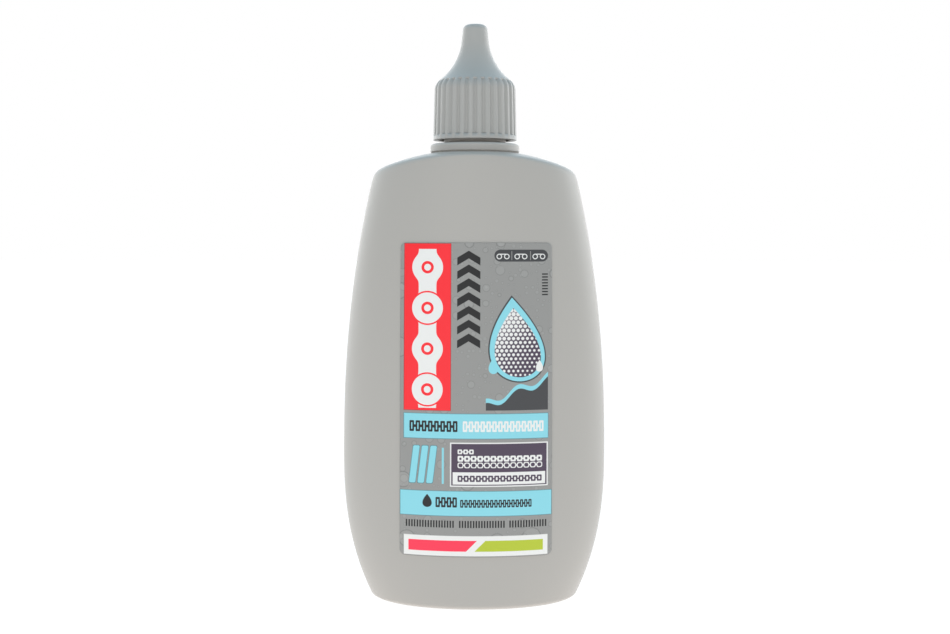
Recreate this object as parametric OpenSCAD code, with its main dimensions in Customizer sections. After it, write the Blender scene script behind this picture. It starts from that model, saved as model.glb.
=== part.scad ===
// Squeeze bottle for chain lube: an oval blown bottle, a dropper nozzle pressed into
// its neck, a fluted screw cap with a long hollow tip, and a printed film label.
// The origin is the centre of the footprint on the surface that the bottle stands on.
// +Z is up, X is the width, and the labelled front faces -Y.

/* [Bottle body] */
// Width at the widest height
body_w = 61.3; // [52:0.1:72]
// Depth at the deepest height
body_d = 31.8; // [28:0.2:38]
// Height at which the body is widest and deepest
widest_z = 35.6; // [26:0.2:48]
// Width that the side outline would have at the ground, before the heel is rounded
foot_w = 46.9; // [42:0.1:52]
// Depth that the body would have at the ground, before the heel is rounded
foot_d = 29.2; // [26:0.2:31]
// Width where the side outline meets the shoulder
shoulder_w = 47.4; // [44:0.2:52]
// Depth of the body at that height
shoulder_d = 27.2; // [25:0.2:30]
// Height at which the side outline meets the shoulder
shoulder_z = 99.8; // [92:0.2:101]
// How late the outline turns in below the widest height, as a power
lower_bow = 2.56; // [2:0.02:3.4]
// How late the outline turns in above the widest height, as a power
upper_bow = 2.21; // [1.8:0.01:3]
// Wall thickness of the blown bottle
wall = 1.0; // [0.7:0.1:1.6]

/* [Shoulder and foot] */
// Height at which the shoulder meets the collar
collar_seat_z = 104.1; // [103:0.1:110]
// Radius of the ball that the shoulder is a cap of
dome_r = 57.4; // [46:0.2:70]
// Sharpness of the edge between wall and shoulder
shoulder_edge = 22; // [12:1:30]
// Height of the rounded heel
heel_r = 1.4; // [0.8:0.1:2.5]
// How far the heel is rounded inwards
heel_in = 3; // [1.5:0.1:4]
// Width of the flat ring that the bottle stands on
stand_ring_w = 2.2; // [1.4:0.1:3.5]
// Height by which the middle of the base is pushed up
push_up = 1.8; // [1:0.1:4]

/* [Neck] */
// Radius of the collar under the cap
collar_r = 10.45; // [10:0.05:12]
// Height of the collar above its seat at the shoulder
collar_h = 2.2; // [1.6:0.1:3.5]
// Radius of the collar's rounded top edge
collar_edge_r = 0.7; // [0.3:0.1:0.9]
// Radius of the collar's rounded lower edge
collar_foot_r = 0.35; // [0.2:0.05:0.45]
// Height of the notch between the shoulder and that edge
collar_notch = 0.2; // [0.1:0.05:0.4]
// Outer radius of the neck, between the turns of its thread
neck_r = 7.25; // [6.9:0.05:7.5]
// Radius of the bore of the neck
neck_bore_r = 5.75; // [5:0.05:6]
// Height of the neck from the collar's top to its rim
neck_h = 12.6; // [10:0.2:14]

/* [Dropper nozzle] */
// Length of the plug inside the neck
plug_h = 7; // [5:0.5:9]
// Gap between the plug and the bore
plug_gap = 0.03; // [0.02:0.01:0.08]
// How far the two sealing beads bite into the bore
bead_bite = 0.08; // [0.04:0.01:0.15]
// Thickness of the flange that rests on the neck's rim
flange_t = 1.0; // [0.8:0.1:1.4]
// How far the flange stays inside the neck's outer wall
flange_inset = 0.2; // [0.1:0.05:0.5]
// Wall thickness of the nozzle
nozzle_wall = 0.95; // [0.7:0.05:1.1]
// Height of the nozzle above its flange
nozzle_h = 11.2; // [9:0.1:11.6]
// Radius of the nozzle at its tip
nozzle_tip_r = 1.65; // [1.3:0.05:1.75]
// Radius of the hole that the lube comes out of
orifice_r = 0.5; // [0.4:0.05:0.7]

/* [Cap] */
// Radius of the skirt over its ribs, at its lower edge
crest_r = 9.78; // [9.6:0.02:10.2]
// Lean of the skirt's side towards its top, in degrees
skirt_draft = 1.3; // [0:0.1:2]
// Radius of the smooth band at the bottom of the skirt
band_r = 9.82; // [9.78:0.02:10.2]
// Height of the smooth band
band_h = 1.2; // [0.8:0.1:2]
// Number of grooves round the skirt
grooves = 30; // [20:1:34]
// Radius of the groove's round section
groove_r = 0.62; // [0.4:0.02:0.7]
// Depth of the grooves
groove_depth = 0.44; // [0.3:0.02:0.5]
// How far the grooves reach below the top of the smooth band
groove_dip = 0.12; // [0.05:0.01:0.4]
// Radius of the skirt's rounded top corner
corner_r = 3; // [2:0.1:3.4]
// Height of that corner's highest point above the underside of the deck
deck_rise = 2; // [1.6:0.05:2.4]
// Height of the flare, from the deck's seat on the nozzle to the foot of the tip
cone_h = 10.65; // [10.4:0.05:12]
// Radius of the tip at its foot
tip_r = 3.2; // [3.1:0.02:3.5]
// Lean of the tip's side, in degrees
tip_draft = 6; // [2:0.5:8]
// Height of the tip
tip_h = 3.9; // [3.2:0.1:5]
// Radius of the tip's rounded edge
tip_edge_r = 1.4; // [0.8:0.1:2]
// Radius of the cap's bore, at the root of its thread
cap_bore_r = 8.4; // [8.3:0.05:8.6]
// Wall thickness of the flare and the tip
cone_wall = 1.0; // [0.8:0.05:1.05]
// Width of the ring of the deck that presses on the nozzle's flange
deck_seat_w = 0.55; // [0.4:0.05:1]
// Gap between the cap's lower edge and the collar
skirt_gap = 0.9; // [0.4:0.1:1.4]
// Gap between the deck and the flange it presses on
seat_gap = 0.05; // [0.03:0.01:0.1]
// Gap between the sealing pin and the orifice
pin_gap = 0.08; // [0.05:0.01:0.12]
// Height of the hollow above the nozzle's tip
tip_gap = 1.2; // [0.8:0.1:1.6]
// Length of the sealing pin inside the orifice
pin_in = 1.2; // [0.6:0.1:1.6]

/* [Label] */
// Width of the label, measured straight across
label_w = 34.4; // [28:0.2:38]
// Height of the label
label_h = 70.6; // [50:0.2:76]
// Height of the label's lower edge
label_z = 12.6; // [10:0.2:22]
// Place of the label's middle across the front
label_x = 0.4; // [-1:0.1:1]
// Radius of the label's corners
label_corner_r = 1.2; // [0.5:0.1:3]
// Thickness of the label's film
film_t = 0.12; // [0.08:0.01:0.2]
// Thickness of the glue between film and bottle
glue_t = 0.05; // [0.04:0.01:0.08]

/* [Print] */
// How far each coat of ink stands above what it lies on
ink_t = 0.03; // [0.02:0.01:0.06]
// Margin beside the print
print_margin = 0.95; // [0.5:0.05:2]
// Width of the red column at the left
column_w = 10.5; // [8:0.1:14]
// Height of its foot above the label's lower edge
column_z = 33; // [30:0.2:40]
// Height of the column
column_h = 37.4; // [20:0.2:38]
// Height of the cyan bars
bar_h = 5.5; // [3:0.1:6]
// Height of the upper bar's foot above the label's lower edge
upper_bar_z = 26.7; // [26:0.1:27]
// Height of the lower bar's foot above the label's lower edge
lower_bar_z = 9.35; // [8:0.05:10]
// Margin beside the lower bar, which runs nearly to the label's edges
lower_bar_margin = 0.15; // [0.1:0.05:1]
// Width of the plate at the right, between the bars
plate_w = 22.05; // [16:0.05:26]
// Height of the plate
plate_h = 9.9; // [6:0.1:10.5]
// Height of the plate's foot above the label's lower edge
plate_z = 15.9; // [15.2:0.1:16.2]
// Height of the white bar along the foot
foot_bar_h = 4.55; // [3:0.05:6]
// Height of its lower edge above the label's
foot_bar_z = 0.25; // [0.1:0.05:1]
// Height of the coral and green stripes on the white bar
stripe_h = 2.45; // [1.5:0.05:3]
// Gap between the two stripes, measured along the bar
stripe_gap = 1.9; // [1:0.1:3]
// Width of the pill in the upper right corner
pill_w = 12.2; // [8:0.1:14]
// Height of the pill
pill_h = 2.7; // [2:0.1:4]
// Gap between the pill and the label's upper edge
pill_gap = 1.5; // [0.8:0.1:3]

/* [Lube] */
// Height of the lube's surface
fill_z = 79.6; // [40:1:92]
// Gap that keeps the lube's solid clear of the bottle's
fill_gap = 0.05; // [0.04:0.01:0.1]

/* [Smoothness] */
// Points round the outside of the body
outer_sides = 48; // [32:8:64]
// Points round the inside of the body
inner_sides = 36; // [24:4:48]

/* [Hidden] */
$fn = 64;
eps = 0.01;

// Heights that follow from the sizes above
collar_top_z = collar_seat_z + collar_h;
rim_z = collar_top_z + neck_h;
flange_top_z = rim_z + flange_t;
deck_z = flange_top_z + seat_gap;
skirt_z = collar_top_z + skirt_gap;
tip_foot_z = deck_z + cone_h;
cap_top_z = tip_foot_z + tip_h;
nozzle_top_z = flange_top_z + nozzle_h;

// Centre of the shoulder's ball, which passes through the collar's foot
dome_z = collar_seat_z - sqrt(pow(dome_r, 2) - pow(collar_r, 2));
// Where the rings of the shoulder stop, as a radius of the ball's own section
dome_to_r = collar_r - 1.6;
// How far the rounding between wall and shoulder reaches, as a share of the radius at their edge
edge_share = 0.2;
// Rings up the heel and the base, and up the wall, the rounding and the shoulder of a skin
heel_steps = 4;
base_steps = 4;
outer_steps = [16, 6, 4];
inner_steps = [11, 4, 3];

// Colours, as the photograph shows them
bottle_grey = [0.68, 0.675, 0.655];
cap_grey = [0.64, 0.65, 0.625];
nozzle_white = [0.86, 0.86, 0.84];
label_grey = [0.58, 0.58, 0.57];
lube_amber = [0.78, 0.62, 0.22];
ink_red = [0.95, 0.27, 0.28];
ink_coral = [0.95, 0.31, 0.38];
ink_cyan = [0.55, 0.83, 0.88];
ink_green = [0.71, 0.77, 0.27];
ink_white = [0.9, 0.9, 0.89];
ink_plum = [0.33, 0.3, 0.34];

// Half size at height z: a power curve from the middle value to the value at the end
function bowed(z, end_z, middle, end, power) =
    (middle - (middle - end) * pow(abs(z - widest_z) / abs(end_z - widest_z), power)) / 2;

function half_w(z) = z < widest_z
    ? bowed(z, 0, body_w, foot_w, lower_bow)
    : bowed(z, shoulder_z, body_w, shoulder_w, upper_bow);

function half_d(z) = z < widest_z
    ? bowed(z, 0, body_d, foot_d, lower_bow)
    : bowed(z, shoulder_z, body_d, shoulder_d, upper_bow);

// Radius of the shoulder's ball at height z, for a skin that lies inset inside it
function dome_at(z, inset) = sqrt(pow(dome_r - inset, 2) - pow(max(z - dome_z, 0), 2));

// Height at which that ball has the section radius r
function dome_height(r, inset) = dome_z + sqrt(pow(dome_r - inset, 2) - pow(r, 2));

// Point of a horizontal section: an ellipse, held in softly by the shoulder's ball
function skin_point(t, z, inset, skin) =
    let (
        flat = [(half_w(z) - inset) * cos(t), (half_d(z) - inset) * sin(t)],
        share = norm(flat) / dome_at(z, skin),
        k = pow(1 + pow(share, shoulder_edge), -1 / shoulder_edge)
    )
    [flat.x * k, flat.y * k, z];

function skin_ring(sides, z, inset, skin) =
    [for (i = [0 : sides - 1]) skin_point(360 * i / sides, z, inset, skin)];

// Distance of the wall from the axis at angle t and height z
function flat_r(t, z, skin) = norm([(half_w(z) - skin) * cos(t), (half_d(z) - skin) * sin(t)]);

// That distance where the wall meets the ball, found in two steps
function edge_at(t, skin) = flat_r(t, dome_height(flat_r(t, shoulder_z, skin), skin), skin);

// Rings of the base from its middle to the ring it stands on
function base_rings(sides, skin) =
    let (edge = skin_ring(sides, 0, skin + heel_in + stand_ring_w, skin))
    [for (i = [1 : base_steps])
        let (s = i / base_steps)
        [for (p = edge) [p.x * s, p.y * s, skin + push_up * (1 - pow(s, 3))]]];

// Rings of the heel, a quarter of an ellipse from the flat of the base to the wall
function heel_rings(sides, skin) =
    [for (i = [0 : heel_steps])
        let (turn = 90 * i / heel_steps)
        skin_ring(sides, skin + heel_r * (1 - cos(turn)), skin + heel_in * (1 - sin(turn)), skin)];

// Rings of the wall above the heel, up to where its rounding into the shoulder starts
function wall_rings(sides, skin, steps) =
    let (from_z = skin + heel_r)
    [for (i = [1 : steps])
        [for (j = [0 : sides - 1])
            let (
                t = 360 * j / sides,
                to_z = dome_height((1 + edge_share) * edge_at(t, skin), skin)
            )
            skin_point(t, from_z + (to_z - from_z) * i / steps, skin, skin)]];

// Rings of that rounding, which follow the edge
function edge_rings(sides, skin, steps) =
    [for (i = [1 : steps])
        [for (j = [0 : sides - 1])
            let (t = 360 * j / sides, r = edge_at(t, skin) * (1 + edge_share * (1 - 2 * i / steps)))
            skin_point(t, dome_height(r, skin), skin, skin)]];

// Rings of the shoulder above it, up to under the collar
function dome_rings(sides, skin, steps) =
    [for (i = [1 : steps])
        [for (j = [0 : sides - 1])
            let (
                t = 360 * j / sides,
                from_r = edge_at(t, skin) * (1 - edge_share),
                r = from_r + (dome_to_r - skin - from_r) * i / steps
            )
            skin_point(t, dome_height(r, skin), skin, skin)]];

// Closed solid through a stack of rings, with a fan over each end
module loft(rings, first, last) {
    n = len(rings[0]);
    m = len(rings);
    points = concat([for (r = rings) each r], [first, last]);
    sides = [for (j = [0 : m - 2], i = [0 : n - 1])
        let (k = (i + 1) % n, a = j * n, b = (j + 1) * n)
        each [[a + i, b + i, b + k], [a + i, b + k, a + k]]];
    bottom = [for (i = [0 : n - 1]) [n * m, i, (i + 1) % n]];
    top = [for (i = [0 : n - 1]) [n * m + 1, n * (m - 1) + (i + 1) % n, n * (m - 1) + i]];
    polyhedron(points = points, faces = concat(sides, bottom, top), convexity = 6);
}

// The blown body as a closed solid, with its surface moved inwards by skin
module body(sides, skin, steps) {
    loft(
        concat(
            base_rings(sides, skin),
            heel_rings(sides, skin),
            wall_rings(sides, skin, steps[0]),
            edge_rings(sides, skin, steps[1]),
            dome_rings(sides, skin, steps[2])),
        [0, 0, skin + push_up],
        [0, 0, dome_height(dome_to_r - skin, skin)]);
}

// Points of an arc in the plane of a profile
function arc(centre, r, from, to, steps = 8) =
    [for (i = [0 : steps])
        let (t = from + (to - from) * i / steps)
        [centre.x + r * cos(t), centre.y + r * sin(t)]];

module neck_outside() {
    root_r = 0.5;
    rim_edge = 0.3;
    rotate_extrude()
        polygon(concat(
            [[0, collar_seat_z - wall], [collar_r - collar_foot_r, collar_seat_z - wall]],
            arc([collar_r - collar_foot_r, collar_seat_z + collar_notch + collar_foot_r],
                collar_foot_r, 270, 360, 4),
            arc([collar_r - collar_edge_r, collar_top_z - collar_edge_r], collar_edge_r, 0, 90),
            arc([neck_r + root_r, collar_top_z + root_r], root_r, 270, 180, 4),
            [[neck_r, rim_z - rim_edge], [neck_r - rim_edge, rim_z], [0, rim_z]]));
}

// The bore, and the hollow behind the collar, which keeps the blown wall's thickness
module neck_inside() {
    hollow_r = collar_r - wall;
    hollow_z = collar_top_z - wall;
    rotate_extrude()
        polygon([
            [0, collar_seat_z - 2 * wall - eps],
            [hollow_r - wall, collar_seat_z - 2 * wall - eps],
            [hollow_r, collar_seat_z - wall],
            [hollow_r, hollow_z - collar_edge_r],
            [hollow_r - collar_edge_r, hollow_z],
            [neck_bore_r + wall, hollow_z],
            [neck_bore_r, hollow_z + wall],
            [neck_bore_r, rim_z + 1],
            [0, rim_z + 1]]);
}

module bottle() {
    color(bottle_grey)
        difference() {
            union() {
                body(outer_sides, 0, outer_steps);
                neck_outside();
            }
            body(inner_sides, wall, inner_steps);
            neck_inside();
        }
}

// Dropper nozzle: a plug with two sealing beads, a flange and a tapering spout
module nozzle_insert() {
    plug_r = neck_bore_r - plug_gap;
    plug_z = rim_z - plug_h;
    lead = 0.6;
    bead_r = neck_bore_r + bead_bite;
    bead_half = 0.4;
    beads = [for (share = [0.28, 0.64]) plug_z + share * plug_h];
    flange_r = neck_r - flange_inset;
    spout_r = flange_r - 2;
    root = 0.5;
    waist_r = nozzle_tip_r + 1.1;
    waist_z = flange_top_z + nozzle_h / 2;
    tip_edge = 0.3;
    throat_z = nozzle_top_z - 1.8;
    color(nozzle_white)
        rotate_extrude()
            polygon(concat(
                [[plug_r - nozzle_wall, plug_z], [plug_r - lead / 2, plug_z], [plug_r, plug_z + lead]],
                [for (z = beads) each [[plug_r, z - bead_half], [bead_r, z], [plug_r, z + bead_half]]],
                [[plug_r, rim_z], [flange_r, rim_z], [flange_r, flange_top_z],
                 [spout_r + root, flange_top_z], [spout_r, flange_top_z + root],
                 [waist_r, waist_z], [nozzle_tip_r, nozzle_top_z - tip_edge],
                 [nozzle_tip_r - tip_edge, nozzle_top_z], [orifice_r, nozzle_top_z],
                 [orifice_r, throat_z], [waist_r - nozzle_wall, waist_z],
                 [spout_r - nozzle_wall, flange_top_z], [plug_r - nozzle_wall, rim_z - nozzle_wall]]));
}

// Radius of the drafted skirt over its ribs at height z
function crest_at(z) = crest_r - tan(skirt_draft) * (z - skirt_z);

// Centre of the skirt's rounded corner, which touches the drafted side
corner_z = deck_z + deck_rise - corner_r;
corner_c = [crest_at(corner_z) - corner_r / cos(skirt_draft), corner_z];

// The flare's circle touches the corner's, and the tip's side at its foot
tip_out = [cos(tip_draft), sin(tip_draft)];
tip_foot = [tip_r, tip_foot_z];
to_foot = tip_foot - corner_c;
flare_r = (to_foot * to_foot - pow(corner_r, 2)) / (2 * (corner_r - to_foot * tip_out));
flare_c = tip_foot + flare_r * tip_out;
flare_turn = atan2(flare_c.y - corner_c.y, flare_c.x - corner_c.x);

// Outline of the cap's outside, from the lower edge of the skirt to the tip
function cap_outside() =
    let (
        band_z = skirt_z + band_h,
        crest_z = band_z + band_r - crest_at(band_z),
        edge_z = cap_top_z - tip_edge_r,
        edge_x = tip_r - tan(tip_draft) * (edge_z - tip_foot_z) - tip_edge_r / cos(tip_draft)
    )
    concat(
        [[band_r, skirt_z], [band_r, band_z], [crest_at(crest_z), crest_z]],
        arc(corner_c, corner_r, skirt_draft, flare_turn),
        arc(flare_c, flare_r, 180 + flare_turn, 180 + tip_draft, 14),
        arc([edge_x, edge_z], tip_edge_r, tip_draft, 90));

// Outline of the cap's inside, from the sealing pin back down to the skirt
function cap_inside() =
    let (
        hollow_r = flare_r + cone_wall,
        seat_r = neck_r - flange_inset - deck_seat_w,
        seat_turn = acos((flare_c.x - seat_r) / hollow_r),
        roof_z = nozzle_top_z + tip_gap,
        hollow_top = flare_c - hollow_r * tip_out,
        roof_r = hollow_top.x - tan(tip_draft) * (roof_z - hollow_top.y),
        pin_r = orifice_r - pin_gap,
        pin_z = nozzle_top_z - pin_in
    )
    concat(
        [[0, pin_z], [pin_r / 2, pin_z], [pin_r, pin_z + pin_r], [pin_r, roof_z], [roof_r, roof_z]],
        arc(flare_c, hollow_r, 180 + tip_draft, 180 + seat_turn, 10),
        [[seat_r, deck_z], [cap_bore_r, deck_z], [cap_bore_r, skirt_z]]);

// Cutter for one groove: up the drafted side, then over the corner to the flare
module groove() {
    foot_z = skirt_z + band_h - groove_dip;
    out = groove_r - groove_depth;
    lean = 2 / 3 * flare_turn;
    lap = corner_r / 2;
    over = (corner_r + out) * tan(flare_turn - lean);
    translate([crest_at(foot_z) + out, 0, foot_z])
        rotate([0, -skirt_draft, 0])
            cylinder(r = groove_r, h = corner_z + corner_r - foot_z, $fn = 24);
    translate([corner_c.x, 0, corner_z])
        rotate([0, -lean, 0])
            translate([corner_r + out, 0, -lap])
                cylinder(r = groove_r, h = lap + over, $fn = 24);
}

module cap() {
    color(cap_grey)
        difference() {
            rotate_extrude()
                polygon(concat([[0, cap_top_z]], cap_inside(), cap_outside()));
            for (i = [0 : grooves - 1])
                rotate([0, 0, 360 * (i + 0.5) / grooves]) groove();
        }
}

// Rounded rectangle, drawn in the plane of the front
module rounded_panel(w, h, r) {
    square([w - 2 * r, h], center = true);
    square([w, h - 2 * r], center = true);
    for (x = [-1, 1], y = [-1, 1])
        translate([x * (w / 2 - r), y * (h / 2 - r)]) circle(r = r, $fn = 32);
}

// Film that follows the front of the body, lift above it, t thick, a little larger than the label
module front_film(lift, t, across = 12, up = 12) {
    margin = 1;
    w = label_w + 2 * margin;
    h = label_h + 2 * margin;
    function front(x, z, off) =
        let (a = half_w(z) + off, b = half_d(z) + off)
        [x, -b * sqrt(1 - pow(x / a, 2)), z];
    function row(z, off) = [for (i = [0 : across]) front(label_x - w / 2 + w * i / across, z, off)];
    function sheet_ring(z) =
        let (outer = row(z, lift + t), inner = row(z, lift))
        concat(outer, [for (i = [across : -1 : 0]) inner[i]]);
    rings = [for (j = [0 : up]) sheet_ring(label_z - margin + h * j / up)];
    n = 2 * (across + 1);
    sides = [for (j = [0 : up - 1], i = [0 : n - 1])
        let (k = (i + 1) % n, a = j * n, b = (j + 1) * n)
        each [[a + i, b + i, b + k], [a + i, b + k, a + k]]];
    ends = [for (i = [0 : across - 1])
        let (k = n - 1 - i, c = up * n)
        each [[i, i + 1, k - 1], [i, k - 1, k], [c + i, c + k - 1, c + i + 1], [c + i, c + k, c + k - 1]]];
    polyhedron(points = [for (r = rings) each r], faces = concat(sides, ends), convexity = 4);
}

// A flat drawing, from the middle of the label's lower edge, pressed onto the front
module pressed(lift, t) {
    intersection() {
        front_film(lift, t);
        translate([label_x, 0, label_z])
            rotate([90, 0, 0])
                linear_extrude(height = body_d) children();
    }
}

// A field of colour, coats of ink high, that reaches down into the film
module ink(coats = 1) {
    pressed(glue_t + film_t / 2, film_t / 2 + coats * ink_t) children();
}

module field(left, foot, w, h) {
    translate([left, foot]) square([w, h]);
}

// The two stripes on the white bar, cut at 45 degrees where they meet
module stripes(side) {
    inset = (foot_bar_h - stripe_h) / 2;
    end = label_w / 2 - print_margin - inset;
    foot = foot_bar_z + inset;
    start = side * stripe_gap / 2;
    slant = stripe_h / 2;
    polygon([
        [side * end, foot], [start - slant, foot],
        [start + slant, foot + stripe_h], [side * end, foot + stripe_h]]);
}

module label() {
    reach = label_w / 2 - print_margin;
    pill_z = label_h - pill_gap - pill_h / 2;
    color(label_grey)
        pressed(glue_t, film_t)
            translate([0, label_h / 2]) rounded_panel(label_w, label_h, label_corner_r);
    color(ink_red) ink() field(-reach, column_z, column_w, column_h);
    color(ink_cyan) ink() {
        field(-reach, upper_bar_z, 2 * reach, bar_h);
        field(lower_bar_margin - label_w / 2, lower_bar_z, label_w - 2 * lower_bar_margin, bar_h);
    }
    color(ink_plum) ink() {
        field(reach - plate_w, plate_z, plate_w, plate_h);
        translate([reach - pill_w / 2, pill_z]) rounded_panel(pill_w, pill_h, pill_h / 2 - eps);
    }
    color(ink_white) ink() field(-reach, foot_bar_z, 2 * reach, foot_bar_h);
    color(ink_coral) ink(2) stripes(-1);
    color(ink_green) ink(2) stripes(1);
}

module lube() {
    color(lube_amber)
        intersection() {
            body(inner_sides, wall + fill_gap, inner_steps);
            translate([-body_w, -body_d, 0]) cube([2 * body_w, 2 * body_d, fill_z]);
        }
}

bottle();
nozzle_insert();
cap();
label();
lube();
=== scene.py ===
"""Looks for an oval squeeze bottle of chain lube, with its dropper nozzle, screw cap and front label.

Every size is in millimetres in the bottle's own frame: +Z up, X along the width, the front facing -Y.
The meshes are worked out on grids with numpy and put into Blender in metres.
"""

import logging
import math
from collections.abc import Callable
from dataclasses import dataclass, field, replace
from enum import Enum
from typing import ClassVar

import bpy
import numpy as np
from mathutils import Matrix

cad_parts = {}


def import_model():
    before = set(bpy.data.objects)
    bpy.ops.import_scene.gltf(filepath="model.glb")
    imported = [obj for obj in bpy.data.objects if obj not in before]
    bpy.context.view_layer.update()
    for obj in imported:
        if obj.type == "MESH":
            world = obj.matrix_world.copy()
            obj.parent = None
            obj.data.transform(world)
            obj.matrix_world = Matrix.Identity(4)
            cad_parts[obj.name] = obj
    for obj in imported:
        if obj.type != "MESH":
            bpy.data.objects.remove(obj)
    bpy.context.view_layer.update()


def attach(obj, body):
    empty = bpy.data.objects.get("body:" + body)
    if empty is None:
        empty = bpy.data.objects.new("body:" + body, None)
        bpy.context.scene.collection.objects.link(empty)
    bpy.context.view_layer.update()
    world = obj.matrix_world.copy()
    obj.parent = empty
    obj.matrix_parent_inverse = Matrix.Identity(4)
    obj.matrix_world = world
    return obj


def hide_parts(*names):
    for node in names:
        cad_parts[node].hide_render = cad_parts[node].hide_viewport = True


LOG = logging.getLogger("chain_lube_bottle")
MM = 0.001
FULL_TURN = 2 * math.pi
SAME = 1e-6
PHOTO_WIDTH = 950
NO_TRIANGLES = np.zeros((0, 3), int)
Tree = bpy.types.NodeTree
Grid = np.ndarray
Triple = tuple[float, float, float]
Shade = tuple[float, float, float, float]


def linear(red: int, green: int, blue: int) -> Shade:
    """Turn a colour as a screen shows it into the linear colour that a shader takes.

    Args:
        red: Red, 0 to 255.
        green: Green, 0 to 255.
        blue: Blue, 0 to 255.

    Returns:
        Linear red, green and blue, and an alpha of 1.
    """
    shown = np.array([red, green, blue]) / 255
    flat = np.where(shown <= 0.04045, shown / 12.92, ((shown + 0.055) / 1.055) ** 2.4)
    return (float(flat[0]), float(flat[1]), float(flat[2]), 1.0)


class Ink(Enum):
    """The inks and grounds of the label, as a screen shows them."""

    GROUND = (153, 150, 146)
    BEAD_LINE = (122, 121, 118)
    RED = (255, 48, 56)
    RED_LINE = (165, 50, 54)
    CORAL = (255, 60, 86)
    CYAN = (144, 214, 224)
    CYAN_LINE = (84, 132, 140)
    GREEN = (186, 198, 56)
    WHITE = (238, 234, 229)
    PLUM = (84, 70, 86)
    DARK = (42, 41, 41)
    SLATE = (74, 73, 74)

    @property
    def shade(self) -> Shade:
        """The ink as a shader's linear colour."""
        return linear(*self.value)


def operation(kind: str, swapped: bool = False) -> Callable[["Wire", "Wire | float"], "Wire"]:
    """Make an arithmetic method for Wire.

    Args:
        kind: The Math node's operation.
        swapped: Whether the wire is the second operand.

    Returns:
        The method, which adds the node and returns its output.
    """
    def apply(wire: "Wire", other: "Wire | float") -> "Wire":
        """Add the node for the wire and the other operand."""
        return wire.sheet.math(kind, *((other, wire) if swapped else (wire, other)))

    return apply


class Wire:
    """An output in a node tree. Arithmetic with it adds Math nodes and gives their outputs."""

    __add__, __radd__ = operation("ADD"), operation("ADD", swapped=True)
    __sub__, __rsub__ = operation("SUBTRACT"), operation("SUBTRACT", swapped=True)
    __mul__, __rmul__ = operation("MULTIPLY"), operation("MULTIPLY", swapped=True)
    __truediv__, __rtruediv__ = operation("DIVIDE"), operation("DIVIDE", swapped=True)
    __lt__, __gt__ = operation("LESS_THAN"), operation("GREATER_THAN")
    at_least, at_most = operation("MAXIMUM"), operation("MINIMUM")

    def __init__(self, sheet: "NodeSheet", socket: bpy.types.NodeSocket) -> None:
        """Keep the output and the sheet that it is on."""
        self.sheet, self.socket = sheet, socket

    def __abs__(self) -> "Wire":
        """Its size without a sign."""
        return self.sheet.math("ABSOLUTE", self)

    def fract(self) -> "Wire":
        """What it has over the whole number below it."""
        return self.sheet.math("FRACT", self)

    def held(self) -> "Wire":
        """Itself, held between 0 and 1 by its own Math node."""
        self.socket.node.use_clamp = True
        return self

    def between(self, low: float, high: "Wire | float") -> "Wire":
        """1 where it lies between low and high, and 0 elsewhere."""
        return (self > low) * (self < high)

    def mask(self, softness: float = 0.07) -> "Wire":
        """As a distance to an outline, negative inside: 1 inside, 0 outside, with a soft edge."""
        return (0.5 - self / softness).held()


class NodeSheet:
    """A node tree, with short ways to add the nodes that these finishes use."""

    def __init__(self, tree: Tree) -> None:
        """Keep the tree of a material, a world or a node group."""
        self.tree = tree

    def feed(self, socket: bpy.types.NodeSocket, value: object) -> None:
        """Link a wire to an input, or write a number or a tuple of numbers there.

        Args:
            socket: The input.
            value: What goes into it.
        """
        if isinstance(value, Wire):
            self.tree.links.new(value.socket, socket)
        else:
            socket.default_value = value

    def add(self, kind: str, inputs: dict | None = None, **settings: object) -> bpy.types.Node:
        """Add one node.

        Args:
            kind: Blender's name of the node's type.
            inputs: What goes into its inputs, by name or number.
            settings: Properties to set on it.

        Returns:
            The new node.
        """
        node = self.tree.nodes.new(kind)
        for name, value in settings.items():
            setattr(node, name, value)
        for name, value in (inputs or {}).items():
            self.feed(node.inputs[name], value)
        return node

    def out(self, kind: str, inputs: dict | None = None, output: str | int = 0,
            **settings: object) -> Wire:
        """Add one node and take the output of that name or number."""
        return Wire(self, self.add(kind, inputs, **settings).outputs[output])

    def wires(self, kind: str, inputs: dict | None = None, **settings: object) -> dict[str, Wire]:
        """Add one node and take all its outputs, by name."""
        return {socket.name: Wire(self, socket) for socket in self.add(kind, inputs, **settings).outputs}

    def math(self, kind: str, *values: Wire | float) -> Wire:
        """Add a Math node of that operation, with its inputs in order."""
        return self.out("ShaderNodeMath", dict(enumerate(values)), operation=kind)

    def mix(self, share: Wire, under: object, over: object) -> Wire:
        """Lay one colour over another, where share says how much of the upper one shows."""
        return self.out("ShaderNodeMix", {"Factor": share, 6: under, 7: over}, 2, data_type="RGBA")

    def group(self, tree: Tree, **values: Wire | float) -> dict[str, Wire]:
        """Place a node group with its own values, and take its outputs by name."""
        return self.wires("ShaderNodeGroup", values, node_tree=tree)

    def length(self, a: Wire, b: Wire) -> Wire:
        """The length of the vector with the two parts a and b."""
        return self.math("SQRT", a * a + b * b)

    def place(self) -> Wire:
        """The place in the object's own frame, in metres."""
        return self.out("ShaderNodeTexCoord", output="Object")

    def parts(self, vector: Wire) -> dict[str, Wire]:
        """The vector's parts X, Y and Z."""
        return self.wires("ShaderNodeSeparateXYZ", {0: vector})


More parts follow.
